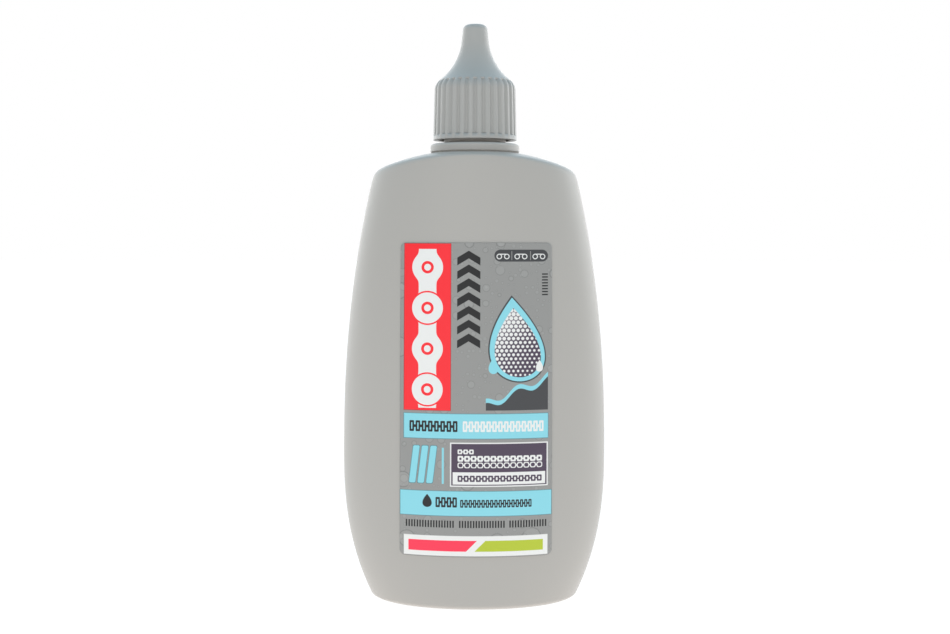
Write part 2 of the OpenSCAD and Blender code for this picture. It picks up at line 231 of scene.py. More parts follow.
class EffectGroup(NodeSheet):
    """A shader node group while it is being built, with its named inputs and outputs."""

    def __init__(self, name: str, **inputs: float) -> None:
        """Start a group.

        Args:
            name: The group's name.
            inputs: Each input with its usual value.
        """
        super().__init__(bpy.data.node_groups.new(name, "ShaderNodeTree"))
        for label, value in inputs.items():
            self.new_socket(label, "INPUT").default_value = value
        entry = self.add("NodeGroupInput")
        self.inputs = [Wire(self, entry.outputs[label]) for label in inputs]

    def new_socket(self, label: str, way: str) -> bpy.types.NodeTreeInterfaceSocket:
        """Give the group an input or an output."""
        return self.tree.interface.new_socket(label, in_out=way, socket_type="NodeSocketFloat")

    def give(self, **results: Wire) -> Tree:
        """Put each result out under its name.

        Args:
            results: The outputs.

        Returns:
            The finished group.
        """
        for label in results:
            self.new_socket(label, "OUTPUT")
        self.add("NodeGroupOutput", results)
        return self.tree


class PrintShop:
    """The node groups that draw the label's print and every plastic's grain, each built once."""

    def __init__(self) -> None:
        """Build every group."""
        self.grain = self.build_grain()
        self.block = self.build_block()
        self.beads = self.build_beads()
        self.drop = self.build_drop()
        self.dots = self.build_dots()
        self.chain = self.build_chain()
        self.wave = self.build_wave()

    def build_grain(self) -> Tree:
        """A moulded surface: Height is fine peel plus broad waves, and Mottle is a slow cloud.

        Returns:
            The group, with the inputs Peel and Cloud as sizes in millimetres.
        """
        group = EffectGroup("mould_grain", Peel=0.8, Cloud=9.0, Waves=0.5)
        peel, cloud, waves = group.inputs
        place = group.place()
        fine, slow = (
            group.out("ShaderNodeTexNoise", {"Vector": place, "Scale": 1 / MM / size, "Detail": detail})
            for size, detail in ((peel, 3.0), (cloud, 2.0)))
        return group.give(Height=fine + slow * waves, Mottle=slow)

    def build_block(self) -> Tree:
        """A row of equal rounded blocks, or one block where Count is 1.

        The place is slanted by Slant times the height above Middle, divided into cells of Pitch from
        Left, and each cell holds a box of Width by Height whose corners are rounded by Corner.

        Returns:
            The group, which puts out Mask.
        """
        group = EffectGroup("print_block", X=0.0, Z=0.0, Left=0.0, Middle=0.0, Pitch=1.0, Count=1.0,
                            Width=1.0, Height=1.0, Corner=0.0, Slant=0.0)
        x, z, left, middle, pitch, count, width, height, corner, slant = group.inputs
        rise = z - middle
        cell = (x - left - slant * rise) / pitch
        over_x = abs((cell.fract() - 0.5) * pitch) - width / 2.0 + corner
        over_z = abs(rise) - height / 2.0 + corner
        outside = group.length(over_x.at_least(0.0), over_z.at_least(0.0))
        distance = outside + over_x.at_least(over_z).at_most(0.0) - corner
        return group.give(Mask=distance.mask() * cell.between(0.0, count))

    def build_beads(self) -> Tree:
        """Printed water beads: thin rings round the points of a scattered grid.

        Each cell of a Voronoi pattern of size Cell holds a ring with a radius of its own, and Share
        of the cells hold none.

        Returns:
            The group, which puts out Ring and Lens, the ring and the faint light inside it.
        """
        scatter, smallest, spread = 0.8, 0.12, 0.22
        group = EffectGroup("water_beads", X=0.0, Z=0.0, Cell=3.0, Share=0.5, Line=0.06)
        x, z, cell, share, line = group.inputs
        place = group.out("ShaderNodeCombineXYZ", {0: x / cell, 1: z / cell})
        cells = group.wires("ShaderNodeTexVoronoi", voronoi_dimensions="2D",
                            inputs={"Vector": place, "Scale": 1.0, "Randomness": scatter})
        own = group.wires("ShaderNodeSeparateColor", {0: cells["Color"]})
        shown = own["Red"] > share
        radius = smallest + own["Green"] * spread
        ring = (1.0 - abs(cells["Distance"] - radius) / line).held()
        return group.give(Ring=ring * shown, Lens=(cells["Distance"] < radius) * shown)

    def build_drop(self) -> Tree:
        """A drop with a round foot and a pointed top.

        With s as the share of the height, the half width is Half times the square root of s times
        (1 - s), over the most that this product reaches.

        Returns:
            The group, which puts out Mask.
        """
        most, softness = math.sqrt(1 / 3) * 2 / 3, 0.1
        group = EffectGroup("drop_field", X=0.0, Z=0.0, Middle=0.0, Foot=0.0, Half=1.0, Height=3.0,
                            Lean=0.0)
        x, z, middle, foot, half, height, lean = group.inputs
        rise = z - foot
        share = (rise / height).held()
        reach = half * (group.math("SQRT", share) * (1.0 - share) / most)
        distance = abs(x - middle - lean * rise) - reach
        return group.give(Mask=distance.mask(softness) * rise.between(0.0, height))

    def build_dots(self) -> Tree:
        """Dots in staggered rows, Pitch apart, each of radius Dot.

        Returns:
            The group, which puts out Mask.
        """
        softness = 0.1
        group = EffectGroup("halftone_dots", X=0.0, Z=0.0, Pitch=1.1, Dot=0.4)
        x, z, pitch, dot = group.inputs
        gaps = ((x, pitch), (z, pitch * math.sqrt(3)))
        even, odd = ([((place / gap + stagger).fract() - 0.5) * gap for place, gap in gaps]
                     for stagger in (0.0, 0.5))
        even_mask, odd_mask = ((group.length(*off) - dot).mask(softness) for off in (even, odd))
        return group.give(Mask=even_mask.at_least(odd_mask))

    def build_chain(self) -> Tree:
        """A roller chain seen from its side, running up the label.

        Outer plates join the pins of every second gap and lie on top. Each plate is two round ends
        and a narrower bar, merged with a smooth minimum, and every pin leaves a round hole.

        Returns:
            The group, which puts out Mask.
        """
        merge, rivet_share, lead = 1.2, 0.55, -0.45
        group = EffectGroup("roller_chain", X=0.0, Z=0.0, Middle=0.0, Foot=0.0, Pitch=9.0, End=3.0,
                            Waist=1.6, Pin=1.2, Gap=0.35, Pins=4.0)
        x, z, middle, foot, pitch, end, waist, pin, gap, pins = group.inputs
        off = x - middle
        cell = (z - foot) / pitch
        from_pin = group.length(off, ((cell + 0.5).fract() - 0.5) * pitch)
        plate = group.math("SMOOTH_MIN", from_pin - end, abs(off) - waist, merge)
        outer = abs(((cell / 2.0).fract() - 0.5) * 2.0) < 0.5
        under = (1.0 - outer) * (from_pin < end + gap)
        ends = (from_pin < end) * (under + outer).held()
        solid = (plate.mask() * (1.0 - under)).at_least(ends * (from_pin - end).mask())
        holed = (solid * (1.0 - (from_pin < pin))).at_least(from_pin < pin * rivet_share)
        return group.give(Mask=holed * cell.between(lead, pins))

    def build_wave(self) -> Tree:
        """A wave of lube: everything below a crest that rises with x and ripples as a sine.

        Returns:
            The group, which puts out Below and Line, the body of the wave and a line along its crest.
        """
        group = EffectGroup("lube_wave", X=0.0, Z=0.0, Foot=0.0, Rise=0.4, Ripple=0.8, Length=6.0,
                            Line=0.5)
        x, z, foot, rise, ripple, length, line = group.inputs
        sine = group.math("SINE", x / length * FULL_TURN)
        over = z - (foot + rise * x + ripple * sine)
        return group.give(Below=over.mask(), Line=(abs(over) - line).mask())


class Finish:
    """A material while it is made: its nodes, its shader and its share of the mould's grain."""

    def __init__(self, name: str, grain: Tree, mottle: float, **sizes: float) -> None:
        """Start a material with a grain of its own.

        Args:
            name: The material's name.
            grain: The grain's node group.
            mottle: How far the slow cloud swings the surface.
            sizes: The grain's values.
        """
        self.material = bpy.data.materials.new(name)
        self.material.use_nodes = True
        self.sheet = NodeSheet(self.material.node_tree)
        found = self.sheet.group(grain, **sizes)
        self.height, self.swing = found["Height"], (found["Mottle"] - 0.5) * mottle

    def close(self, relief: float, roughness: float, inputs: dict[str, object]) -> bpy.types.Material:
        """Feed the shader.

        Args:
            relief: The grain's height in millimetres.
            roughness: The middle roughness.
            inputs: What else goes into the shader.

        Returns:
            The material.
        """
        bump = self.sheet.out("ShaderNodeBump", {"Distance": relief * MM, "Height": self.height})
        shader = self.material.node_tree.nodes["Principled BSDF"]
        for label, value in {**inputs, "Roughness": roughness + self.swing, "Normal": bump}.items():
            self.sheet.feed(shader.inputs[label], value)
        return self.material


@dataclass(frozen=True)
class Plastic:
    """A moulded plastic: its colour, its gloss, and the grain that its mould left.

    Sizes are in millimetres. seam is the half width of a parting line in the plane y = 0, and 0
    leaves it out.
    """

    contrast: ClassVar[float] = 4.0
    seam_height: ClassVar[float] = 2.4
    bleed: ClassVar[Triple] = (1.0, 0.9, 0.8)
    bleed_reach: ClassVar[float] = 0.6
    name: str
    shade: tuple[int, int, int]
    roughness: float
    peel: float
    cloud: float
    waves: float
    relief: float
    mottle: float
    seam: float = 0.0
    milky: float = 0.0

    def make(self, shop: PrintShop) -> bpy.types.Material:
        """Build the material.

        Args:
            shop: The shared node groups.

        Returns:
            The material.
        """
        finish = Finish(self.name, shop.grain, self.mottle,
                        Peel=self.peel, Cloud=self.cloud, Waves=self.waves)
        level = (0.5 + finish.swing * self.contrast).held()
        base = linear(*self.shade)[:3]
        darker, lighter = ((*(min(part * (1 + way * self.mottle), 1.0) for part in base), 1.0)
                           for way in (-1, 1))
        inputs = {"Base Color": finish.sheet.mix(level, darker, lighter)}
        if self.seam:
            finish.height = finish.height + self.seam_ridge(finish.sheet)
        if self.milky:
            inputs |= {"Subsurface Weight": self.milky, "Subsurface Radius": self.bleed,
                       "Subsurface Scale": self.bleed_reach * MM}
        return finish.close(self.relief, self.roughness, inputs)

    def seam_ridge(self, sheet: NodeSheet) -> Wire:
        """The parting line: a ridge where y is within seam of the middle plane."""
        off = abs(sheet.parts(sheet.place())["Y"])
        return (1.0 - off / (self.seam * MM)).held() * self.seam_height


class Paper:
    """The label's print while it is drawn: the place on the label, and the colour so far."""

    def __init__(self, sheet: NodeSheet, shop: PrintShop, middle_x: float, foot_z: float) -> None:
        """Start with the bare ground.

        Args:
            sheet: The label material's nodes.
            shop: The shared node groups.
            middle_x: Place of the label's middle, in millimetres.
            foot_z: Height of its lower edge, in millimetres.
        """
        self.sheet, self.shop, self.colour = sheet, shop, Ink.GROUND.shade
        inputs = {"Vector": sheet.place(), "Location": (-middle_x, 0.0, -foot_z), "Scale": (1 / MM,) * 3}
        parts = sheet.parts(sheet.out("ShaderNodeMapping", inputs))
        self.x, self.z = parts["X"], parts["Z"]

    def draw(self, tree: Tree, **values: Wire | float) -> dict[str, Wire]:
        """Place a drawing's node group, at the label's own X and Z where none are given."""
        return self.sheet.group(tree, **{"X": self.x, "Z": self.z, **values})

    def lay(self, ink: Ink, mask: Wire) -> None:
        """Print an ink where the mask is 1."""
        self.colour = self.sheet.mix(mask, self.colour, ink.shade)

    def drop(self, ink: Ink, middle: float, foot: float, half: float, height: float,
             lean: float = 0.0) -> Wire:
        """Print a drop.

        Args:
            ink: Its ink.
            middle: The place of its middle across.
            foot: The height of its foot.
            half: Half its width.
            height: Its height.
            lean: How far it leans for each millimetre of height.

        Returns:
            Its mask.
        """
        drop = self.draw(self.shop.drop, Middle=middle, Foot=foot, Half=half, Height=height, Lean=lean)
        self.lay(ink, drop["Mask"])
        return drop["Mask"]


@dataclass(frozen=True)
class PrintBlock:
    """One field of colour on the label, or a row of equal ones, from the label's middle and lower edge.

    upright turns the row so that it runs up the label, with left as its lower end and middle as its
    place across.
    """

    bar_share: ClassVar[float] = 0.26
    hole_corner: ClassVar[float] = 0.4
    room: ClassVar[float] = 0.4
    line_w: ClassVar[float] = 0.11
    ink: Ink
    left: float
    middle: float
    width: float
    height: float
    pitch: float = 0.0
    count: int = 1
    corner: float = 0.0
    slant: float = 0.0
    upright: bool = False

    def lined(self, line: Ink) -> list["PrintBlock"]:
        """The field over a slightly larger one of that ink, which leaves a fine line round it."""
        around = replace(self, ink=line, left=self.left - self.line_w, pitch=self.pitch or self.width + 1,
                         width=self.width + 2 * self.line_w, height=self.height + 2 * self.line_w)
        return [around, self]

    def linked(self, ground: Ink, width: float, height: float) -> list["PrintBlock"]:
        """The row as a small chain: a bar joins the blocks, and each has a hole in its middle.

        Args:
            ground: The ink that shows through the holes.
            width: A hole's width.
            height: A hole's height.

        Returns:
            The bar, the row and its holes.
        """
        length = self.pitch * (self.count - 1) + self.width
        bar = replace(self, width=length, height=self.bar_share * self.height,
                      pitch=0.0, count=1, corner=0.0)
        holes = replace(self, ink=ground, left=self.left + (self.width - width) / 2, width=width,
                        height=height, corner=self.hole_corner * width)
        return [bar, self, holes]

    def draw(self, paper: Paper, x: Wire | None = None, z: Wire | None = None) -> Wire:
        """Draw the field as a mask.

        Args:
            paper: The label's print.
            x: Millimetres across, where they aren't the label's own.
            z: Millimetres up, where they aren't the label's own.

        Returns:
            The mask, 1 in the field.
        """
        places = {"X": x or paper.x, "Z": z or paper.z}
        if self.upright:
            places = {"X": places["Z"], "Z": places["X"]}
        pitch = self.pitch or self.width + self.room
        left = self.left - (pitch - self.width) / 2
        return paper.draw(paper.shop.block, **places, Left=left, Middle=self.middle, Pitch=pitch,
                          Count=float(self.count), Width=self.width, Height=self.height,
                          Corner=self.corner, Slant=self.slant)["Mask"]


@dataclass(frozen=True)
class LabelPrint:
    """The printed film: a grey ground with water beads, bars and plates of colour, and simple motifs."""

    bead_sizes: ClassVar[tuple[Triple, ...]] = ((1.3, 0.10, 0.3), (3.1, 0.05, 0.5), (7.0, 0.03, 0.75))
    bead_gaps: ClassVar[float] = 0.6
    bead_light: ClassVar[float] = 0.05
    name: str = "label_print"
    roughness: float = 0.34
    shine: float = 0.3
    relief: float = 0.004
    mottle: float = 0.12
    chevron_x: float = -1.7
    chevron_fold: float = 0.6

    def blocks(self) -> list[PrintBlock]:
        """Lay out every plain field.

        Returns:
            The fields, from the lowest layer up.
        """
        small_rows = ((-15.8, 18), (-3.75, 17), (7.55, 14))
        return [
            *PrintBlock(Ink.RED, -16.25, 51.7, 10.5, 37.4).lined(Ink.RED_LINE),
            *self.pill(),
            *PrintBlock(Ink.CYAN, -16.25, 29.45, 32.5, 5.5).lined(Ink.CYAN_LINE),
            *PrintBlock(Ink.DARK, -15.0, 29.4, 1.05, 2.45, 1.4, 8, 0.2).linked(Ink.CYAN, 0.26, 1.5),
            *PrintBlock(Ink.WHITE, -2.95, 29.4, 1.0, 2.4, 1.323, 14, 0.2).linked(Ink.CYAN, 0.26, 1.45),
            *PrintBlock(Ink.CYAN, -14.6, 20.8, 1.45, 8.4, 1.95, 3, 0.35, 0.12).lined(Ink.CYAN_LINE),
            PrintBlock(Ink.CYAN, -7.65, 20.55, 0.45, 8.1),
            *self.plate(),
            *PrintBlock(Ink.CYAN, -17.05, 12.1, 34.1, 5.5).lined(Ink.CYAN_LINE),
            *PrintBlock(Ink.DARK, -9.05, 12.38, 1.0, 2.3, 1.27, 4, 0.2).linked(Ink.CYAN, 0.3, 1.35),
            *PrintBlock(Ink.DARK, -3.5, 12.1, 0.7, 1.75, 0.96, 17, 0.15).linked(Ink.CYAN, 0.18, 1.1),
            *(PrintBlock(Ink.DARK, left, 7.45, 0.34, 1.6, 0.62, count, 0.08)
              for left, count in small_rows),
            *self.foot_bar(),
        ]

    def pill(self) -> list[PrintBlock]:
        """The dark pill at the top right, with two dividers and three pairs of little wheels.

        Returns:
            Its fields.
        """
        middle = 67.75
        low, high = middle - 0.2, middle + 0.32
        fields = [PrintBlock(Ink.SLATE, 4.05, middle, 12.2, 2.7, corner=1.34)]
        fields += [PrintBlock(Ink.GROUND, x, middle, 0.16, 2.0) for x in (7.9, 12.15)]
        for place in (6.0, 10.05, 14.15):
            for hub in (place - 0.85, place + 0.85):
                fields += [PrintBlock(ink, hub - r, low, 2 * r, 2 * r, corner=r)
                           for ink, r in ((Ink.WHITE, 0.62), (Ink.SLATE, 0.42))]
            fields.append(PrintBlock(Ink.WHITE, place - 0.75, high, 1.4, 0.2, slant=0.4))
        return fields

    def plate(self) -> list[PrintBlock]:
        """The plum plate with a white border, rows of light blocks and a white strip along its foot.

        Returns:
            Its fields.
        """
        return [
            PrintBlock(Ink.WHITE, -5.8, 20.85, 22.05, 9.9),
            PrintBlock(Ink.PLUM, -5.53, 20.85, 21.51, 9.36),
            PrintBlock(Ink.WHITE, -5.2, 17.78, 20.85, 2.75),
            *PrintBlock(Ink.WHITE, -4.1, 23.75, 1.0, 1.05, 1.3, 3, 0.2).linked(Ink.PLUM, 0.4, 0.5),
            *PrintBlock(Ink.WHITE, -4.1, 22.2, 1.25, 1.3, 1.48, 13, 0.3).linked(Ink.PLUM, 0.5, 0.55),
            *PrintBlock(Ink.WHITE, -4.1, 20.72, 1.3, 1.25, 1.48, 13, 0.4).linked(Ink.PLUM, 0.9, 0.85),
            *PrintBlock(Ink.PLUM, -4.1, 17.72, 1.1, 1.4, 1.373, 14, 0.2).linked(Ink.WHITE, 0.4, 0.7),
        ]

    def foot_bar(self) -> list[PrintBlock]:
        """The white bar along the label's foot, with a coral half and a green half cut at 45 degrees.

        Returns:
            Its fields.
        """
        middle, height, cut = 2.52, 2.45, 1.0
        return [
            PrintBlock(Ink.WHITE, -16.25, middle, 32.5, 4.55),
            PrintBlock(Ink.CORAL, -15.2, middle, 11.2, height),
            PrintBlock(Ink.CORAL, -6.0, middle, 5.05, height, slant=cut),
            PrintBlock(Ink.GREEN, 3.0, middle, 12.2, height),
            PrintBlock(Ink.GREEN, 0.95, middle, 4.9, height, slant=cut),
        ]

    def make(self, shop: PrintShop, middle_x: float, foot_z: float) -> bpy.types.Material:
        """Build the label's material.

        Args:
            shop: The shared node groups.
            middle_x: Place of the label's middle, in millimetres.
            foot_z: Height of its lower edge, in millimetres.

        Returns:
            The material.
        """
        finish = Finish(self.name, shop.grain, self.mottle, Peel=0.5, Cloud=6.0, Waves=0.3)
        paper = Paper(finish.sheet, shop, middle_x, foot_z)
        self.ground(paper)
        self.scenery(paper)
        for block in self.blocks():
            paper.lay(block.ink, block.draw(paper))
        self.motifs(paper)
        inputs = {"Base Color": paper.colour, "Specular IOR Level": self.shine}
        return finish.close(self.relief, self.roughness, inputs)

    def ground(self, paper: Paper) -> None:
        """Print water beads of three sizes on the bare ground.

        Args:
            paper: The label's print.
        """
        for cell, line, strength in self.bead_sizes:
            beads = paper.draw(paper.shop.beads, Cell=cell, Share=self.bead_gaps, Line=line)
            paper.lay(Ink.WHITE, beads["Lens"] * self.bead_light)
            paper.lay(Ink.BEAD_LINE, beads["Ring"] * strength)

    def scenery(self, paper: Paper) -> None:
        """Print a big dotted drop with a bright rim over a dark wave, at the label's right.

        Args:
            paper: The label's print.
        """
        window = PrintBlock(Ink.SLATE, 2.2, 45.6, 14.05, 25.2).draw(paper)
        wave = paper.draw(paper.shop.wave, Foot=33.4, Rise=0.42, Ripple=0.9, Length=7.5)
        paper.lay(Ink.SLATE, wave["Below"] * window)
        paper.lay(Ink.CYAN, wave["Line"] * window)
        middle, lean = 9.9, -0.1
        paper.drop(Ink.SLATE, middle, 39.2, 6.5, 19.6, lean)
        paper.drop(Ink.CYAN, middle, 39.5, 6.2, 18.8, lean)
        inside = paper.drop(Ink.PLUM, middle, 40.4, 5.2, 15.6, lean)
        fade = ((paper.z - paper.x - 26.0) / 34.0).held()
        dots = paper.draw(paper.shop.dots, Pitch=1.05, Dot=0.18 + fade * 0.5)
        paper.lay(Ink.WHITE, dots["Mask"] * inside)
        paper.drop(Ink.CYAN, 3.9, 41.2, 1.1, 3.6)
        paper.drop(Ink.WHITE, 14.3, 41.6, 0.8, 2.6)

    def motifs(self, paper: Paper) -> None:
        """Print the motifs on the fields: a white chain, a column of dark chevrons, ticks and a drop.

        Args:
            paper: The label's print.
        """
        chain = paper.draw(paper.shop.chain, Middle=-11.0, Foot=37.62, Pitch=9.154, End=3.5, Waist=2.0,
                           Pin=1.4, Pins=3.45)
        paper.lay(Ink.WHITE, chain["Mask"])
        chevrons = PrintBlock(Ink.DARK, 48.5, 0.0, 1.75, 5.2, 3.1, 7, upright=True)
        off = paper.x - self.chevron_x
        paper.lay(Ink.DARK, chevrons.draw(paper, off, paper.z + abs(off) * self.chevron_fold))
        ticks = PrintBlock(Ink.DARK, 58.8, 15.55, 0.3, 1.35, 0.66, 8, upright=True)
        paper.lay(Ink.DARK, ticks.draw(paper))
        paper.drop(Ink.DARK, -10.95, 11.2, 1.05, 2.95)


def unit(vector: Grid) -> Grid:
    """The vector at a length of 1."""
    return vector / np.linalg.norm(vector)


def eased(share: Grid) -> Grid:
    """A share from 0 to 1 as an S curve: 3 s^2 - 2 s^3."""
    return share**2 * (3 - 2 * share)


def steps(count: int) -> Grid:
    """The shares 1 / count to 1, as a column."""
    return np.linspace(0, 1, count + 1)[1:, None]


def even_angles(count: int) -> Grid:
    """That many angles in equal steps round a full turn."""
    return np.arange(count) * FULL_TURN / count


def direction(turn: float) -> Grid:
    """The step of length 1 that way, in radius and height."""
    return np.array([math.cos(turn), math.sin(turn)])


def arc(centre: Grid, radius: float, start: float, end: float, count: int) -> Grid:
    """Points along an arc in that many steps, radius and height by row."""
    turn = np.linspace(start, end, count + 1)
    return np.stack([centre[0] + radius * np.cos(turn), centre[1] + radius * np.sin(turn)], axis=-1)


def rounded_outline(corners: list[Triple], longest: float) -> Grid:
    """Draw an outline of radius and height whose corners are rounded by arcs.

    A corner of fillet radius f with a turn t is cut back by f times tan(t / 2) along both sides and
    joined by a true arc. Straight runs get a point close to each end, so that they stay flat under
    smooth shading, and are divided so that no step is longer than longest.

    Args:
        corners: Radius, height and fillet radius of each corner, in order.
        longest: The longest step along a straight run.

    Returns:
        The outline's points, one row for each.
    """
    arc_step, fewest, hold = 11, 3, 0.05
    place = np.array([corner[:2] for corner in corners], float)
    arcs: list[Grid] = []
    for i, (point, fillet) in enumerate(zip(place, [corner[2] for corner in corners])):
        if i in (0, len(place) - 1) or fillet <= 0:
            arcs.append(point[None, :])
            continue
        to_last, to_next = unit(place[i - 1] - point), unit(place[i + 1] - point)
        half = math.acos(float(np.clip(to_last @ to_next, -1, 1))) / 2
        cut = fillet / math.tan(half)
        centre = point + unit(to_last + to_next) * fillet / math.sin(half)
        first, last = point + to_last * cut - centre, point + to_next * cut - centre
        sweep = math.pi - 2 * half
        count = max(fewest, int(math.degrees(sweep) / arc_step) + 1)
        share = np.linspace(0, 1, count + 1)[:, None]
        swung = np.sin((1 - share) * sweep) * first + np.sin(share * sweep) * last
        arcs.append(centre + swung / math.sin(sweep))
    pieces = [arcs[0]]
    for before, after in zip(arcs[:-1], arcs[1:]):
        run = after[0] - before[-1]
        reach = float(np.linalg.norm(run))
        if reach > 3 * hold:
            count = max(1, math.ceil((reach - 2 * hold) / longest))
            share = np.linspace(hold / reach, 1 - hold / reach, count + 1)[:, None]
            pieces.append(before[-1] + run * share)
        pieces.append(after)
    points = np.vstack(pieces)
    return points[np.r_[True, np.linalg.norm(np.diff(points, axis=0), axis=1) > SAME]]


def new_object(name: str, data: bpy.types.ID) -> bpy.types.Object:
    """Put new data into the scene as an object at the origin.

    Args:
        name: The object's name.
        data: Its mesh, lamp or camera.

    Returns:
        The object.
    """
    made = bpy.data.objects.new(name, data)
    bpy.context.scene.collection.objects.link(made)
    return made


def put_mesh(name: str, points: Grid, quads: Grid, triangles: Grid = NO_TRIANGLES) -> bpy.types.Object:
    """Put points and faces into a new object at the origin, shaded smooth.

    Args:
        name: The piece's name.
        points: Places in millimetres.
        quads: Four point numbers for each face.
        triangles: Three point numbers for each face.

    Returns:
        The object.
    """
    mesh = bpy.data.meshes.new(name)
    mesh.vertices.add(len(points))
    mesh.vertices.foreach_set("co", (points * MM).astype(np.float32).ravel())
    loops = np.concatenate([quads.ravel(), triangles.ravel()]).astype(np.int32)
    mesh.loops.add(len(loops))
    mesh.loops.foreach_set("vertex_index", loops)
    starts = np.concatenate([np.arange(len(quads)) * 4, len(quads) * 4 + np.arange(len(triangles)) * 3])
    mesh.polygons.add(len(starts))
    mesh.polygons.foreach_set("loop_start", starts.astype(np.int32))
    mesh.polygons.foreach_set("use_smooth", np.ones(len(starts), bool))
    mesh.update(calc_edges=True)
    mesh.validate()
    return new_object(name, mesh)


def ring_mesh(name: str, rings: Grid,
              pole_heights: tuple[float, float] | None = None) -> bpy.types.Object:
    """Join a stack of rings into one closed surface.

    Neighbouring rings are joined by quads. With pole heights, the first and last ring are closed by
    fans to points on the axis, and without them the last ring joins the first. Rings run
    anticlockwise seen from above, and follow each other so that the solid lies to their left, which
    makes every face point outwards.

    Args:
        name: The piece's name.
        rings: Places, by ring, by point of the ring, and by axis.
        pole_heights: The heights of the points that close the first and the last ring.

    Returns:
        The object.
    """
    rows, around, _ = rings.shape
    here = np.arange(around)
    beside = np.roll(here, -1)
    first = np.arange(rows if pole_heights is None else rows - 1)[:, None] * around
    second = (first + around) % (rows * around)
    quads = np.stack([first + here, first + beside, second + beside, second + here], axis=-1)
    quads, points = quads.reshape(-1, 4), rings.reshape(-1, 3)
    if pole_heights is None:
        return put_mesh(name, points, quads)
    foot, head, last = rows * around, rows * around + 1, (rows - 1) * around
    points = np.vstack([points, *([0, 0, z] for z in pole_heights)])
    bottom = np.stack([np.full(around, foot), beside, here], axis=-1)
    top = np.stack([np.full(around, head), last + here, last + beside], axis=-1)
    return put_mesh(name, points, quads, np.vstack([bottom, top]))


def turned_rings(radius: Grid, height: Grid, angles: Grid) -> Grid:
    """Turn an outline round the axis.

    Args:
        radius: The radius, by point of the outline, or by point and angle.
        height: The height, in the same way.
        angles: The angles of the points round each ring.

    Returns:
        Places, by ring, by angle, and by axis.
    """
    flat = np.ones_like(angles)[None, :]
    return np.stack([radius * np.cos(angles), radius * np.sin(angles), height * flat], axis=-1)


@dataclass
class Thread:
    """A single-start screw thread, as a ridge on a round wall."""

    foot: float
    pitch: float
    turns: float
    depth: float
    base: float
    crest: float
    fade: float = 0.12

    def ridge(self, outline: Grid, wall_r: float, angles: Grid) -> Grid:
        """The height of the ridge over the wall, and 0 where the outline isn't at the wall's radius.

        The turn number nearest to a place is the whole number nearest to its height over the foot in
        pitches, less its share of a full turn. The ridge's section is a trapezoid with eased edges,
        and it fades in and out over the share fade of a turn at both ends.

        Args:
            outline: Radius and height, by point.
            wall_r: The wall's radius.
            angles: Angles round the wall.

        Returns:
            The ridge's height, by point of the outline and angle.
        """
        on_wall = np.abs(outline[:, :1] - wall_r) < SAME
        turn = (angles / FULL_TURN) % 1.0
        level = (outline[:, 1:] - self.foot) / self.pitch - turn[None, :]
        lap = np.round(level)
        off = np.abs(level - lap) * self.pitch
        along = lap + turn[None, :]
        flank = np.clip((self.base / 2 - off) / ((self.base - self.crest) / 2), 0, 1)
        ends = np.clip(np.minimum(along, self.turns - along) / self.fade, 0, 1)
        return self.depth * eased(flank) * eased(ends) * on_wall


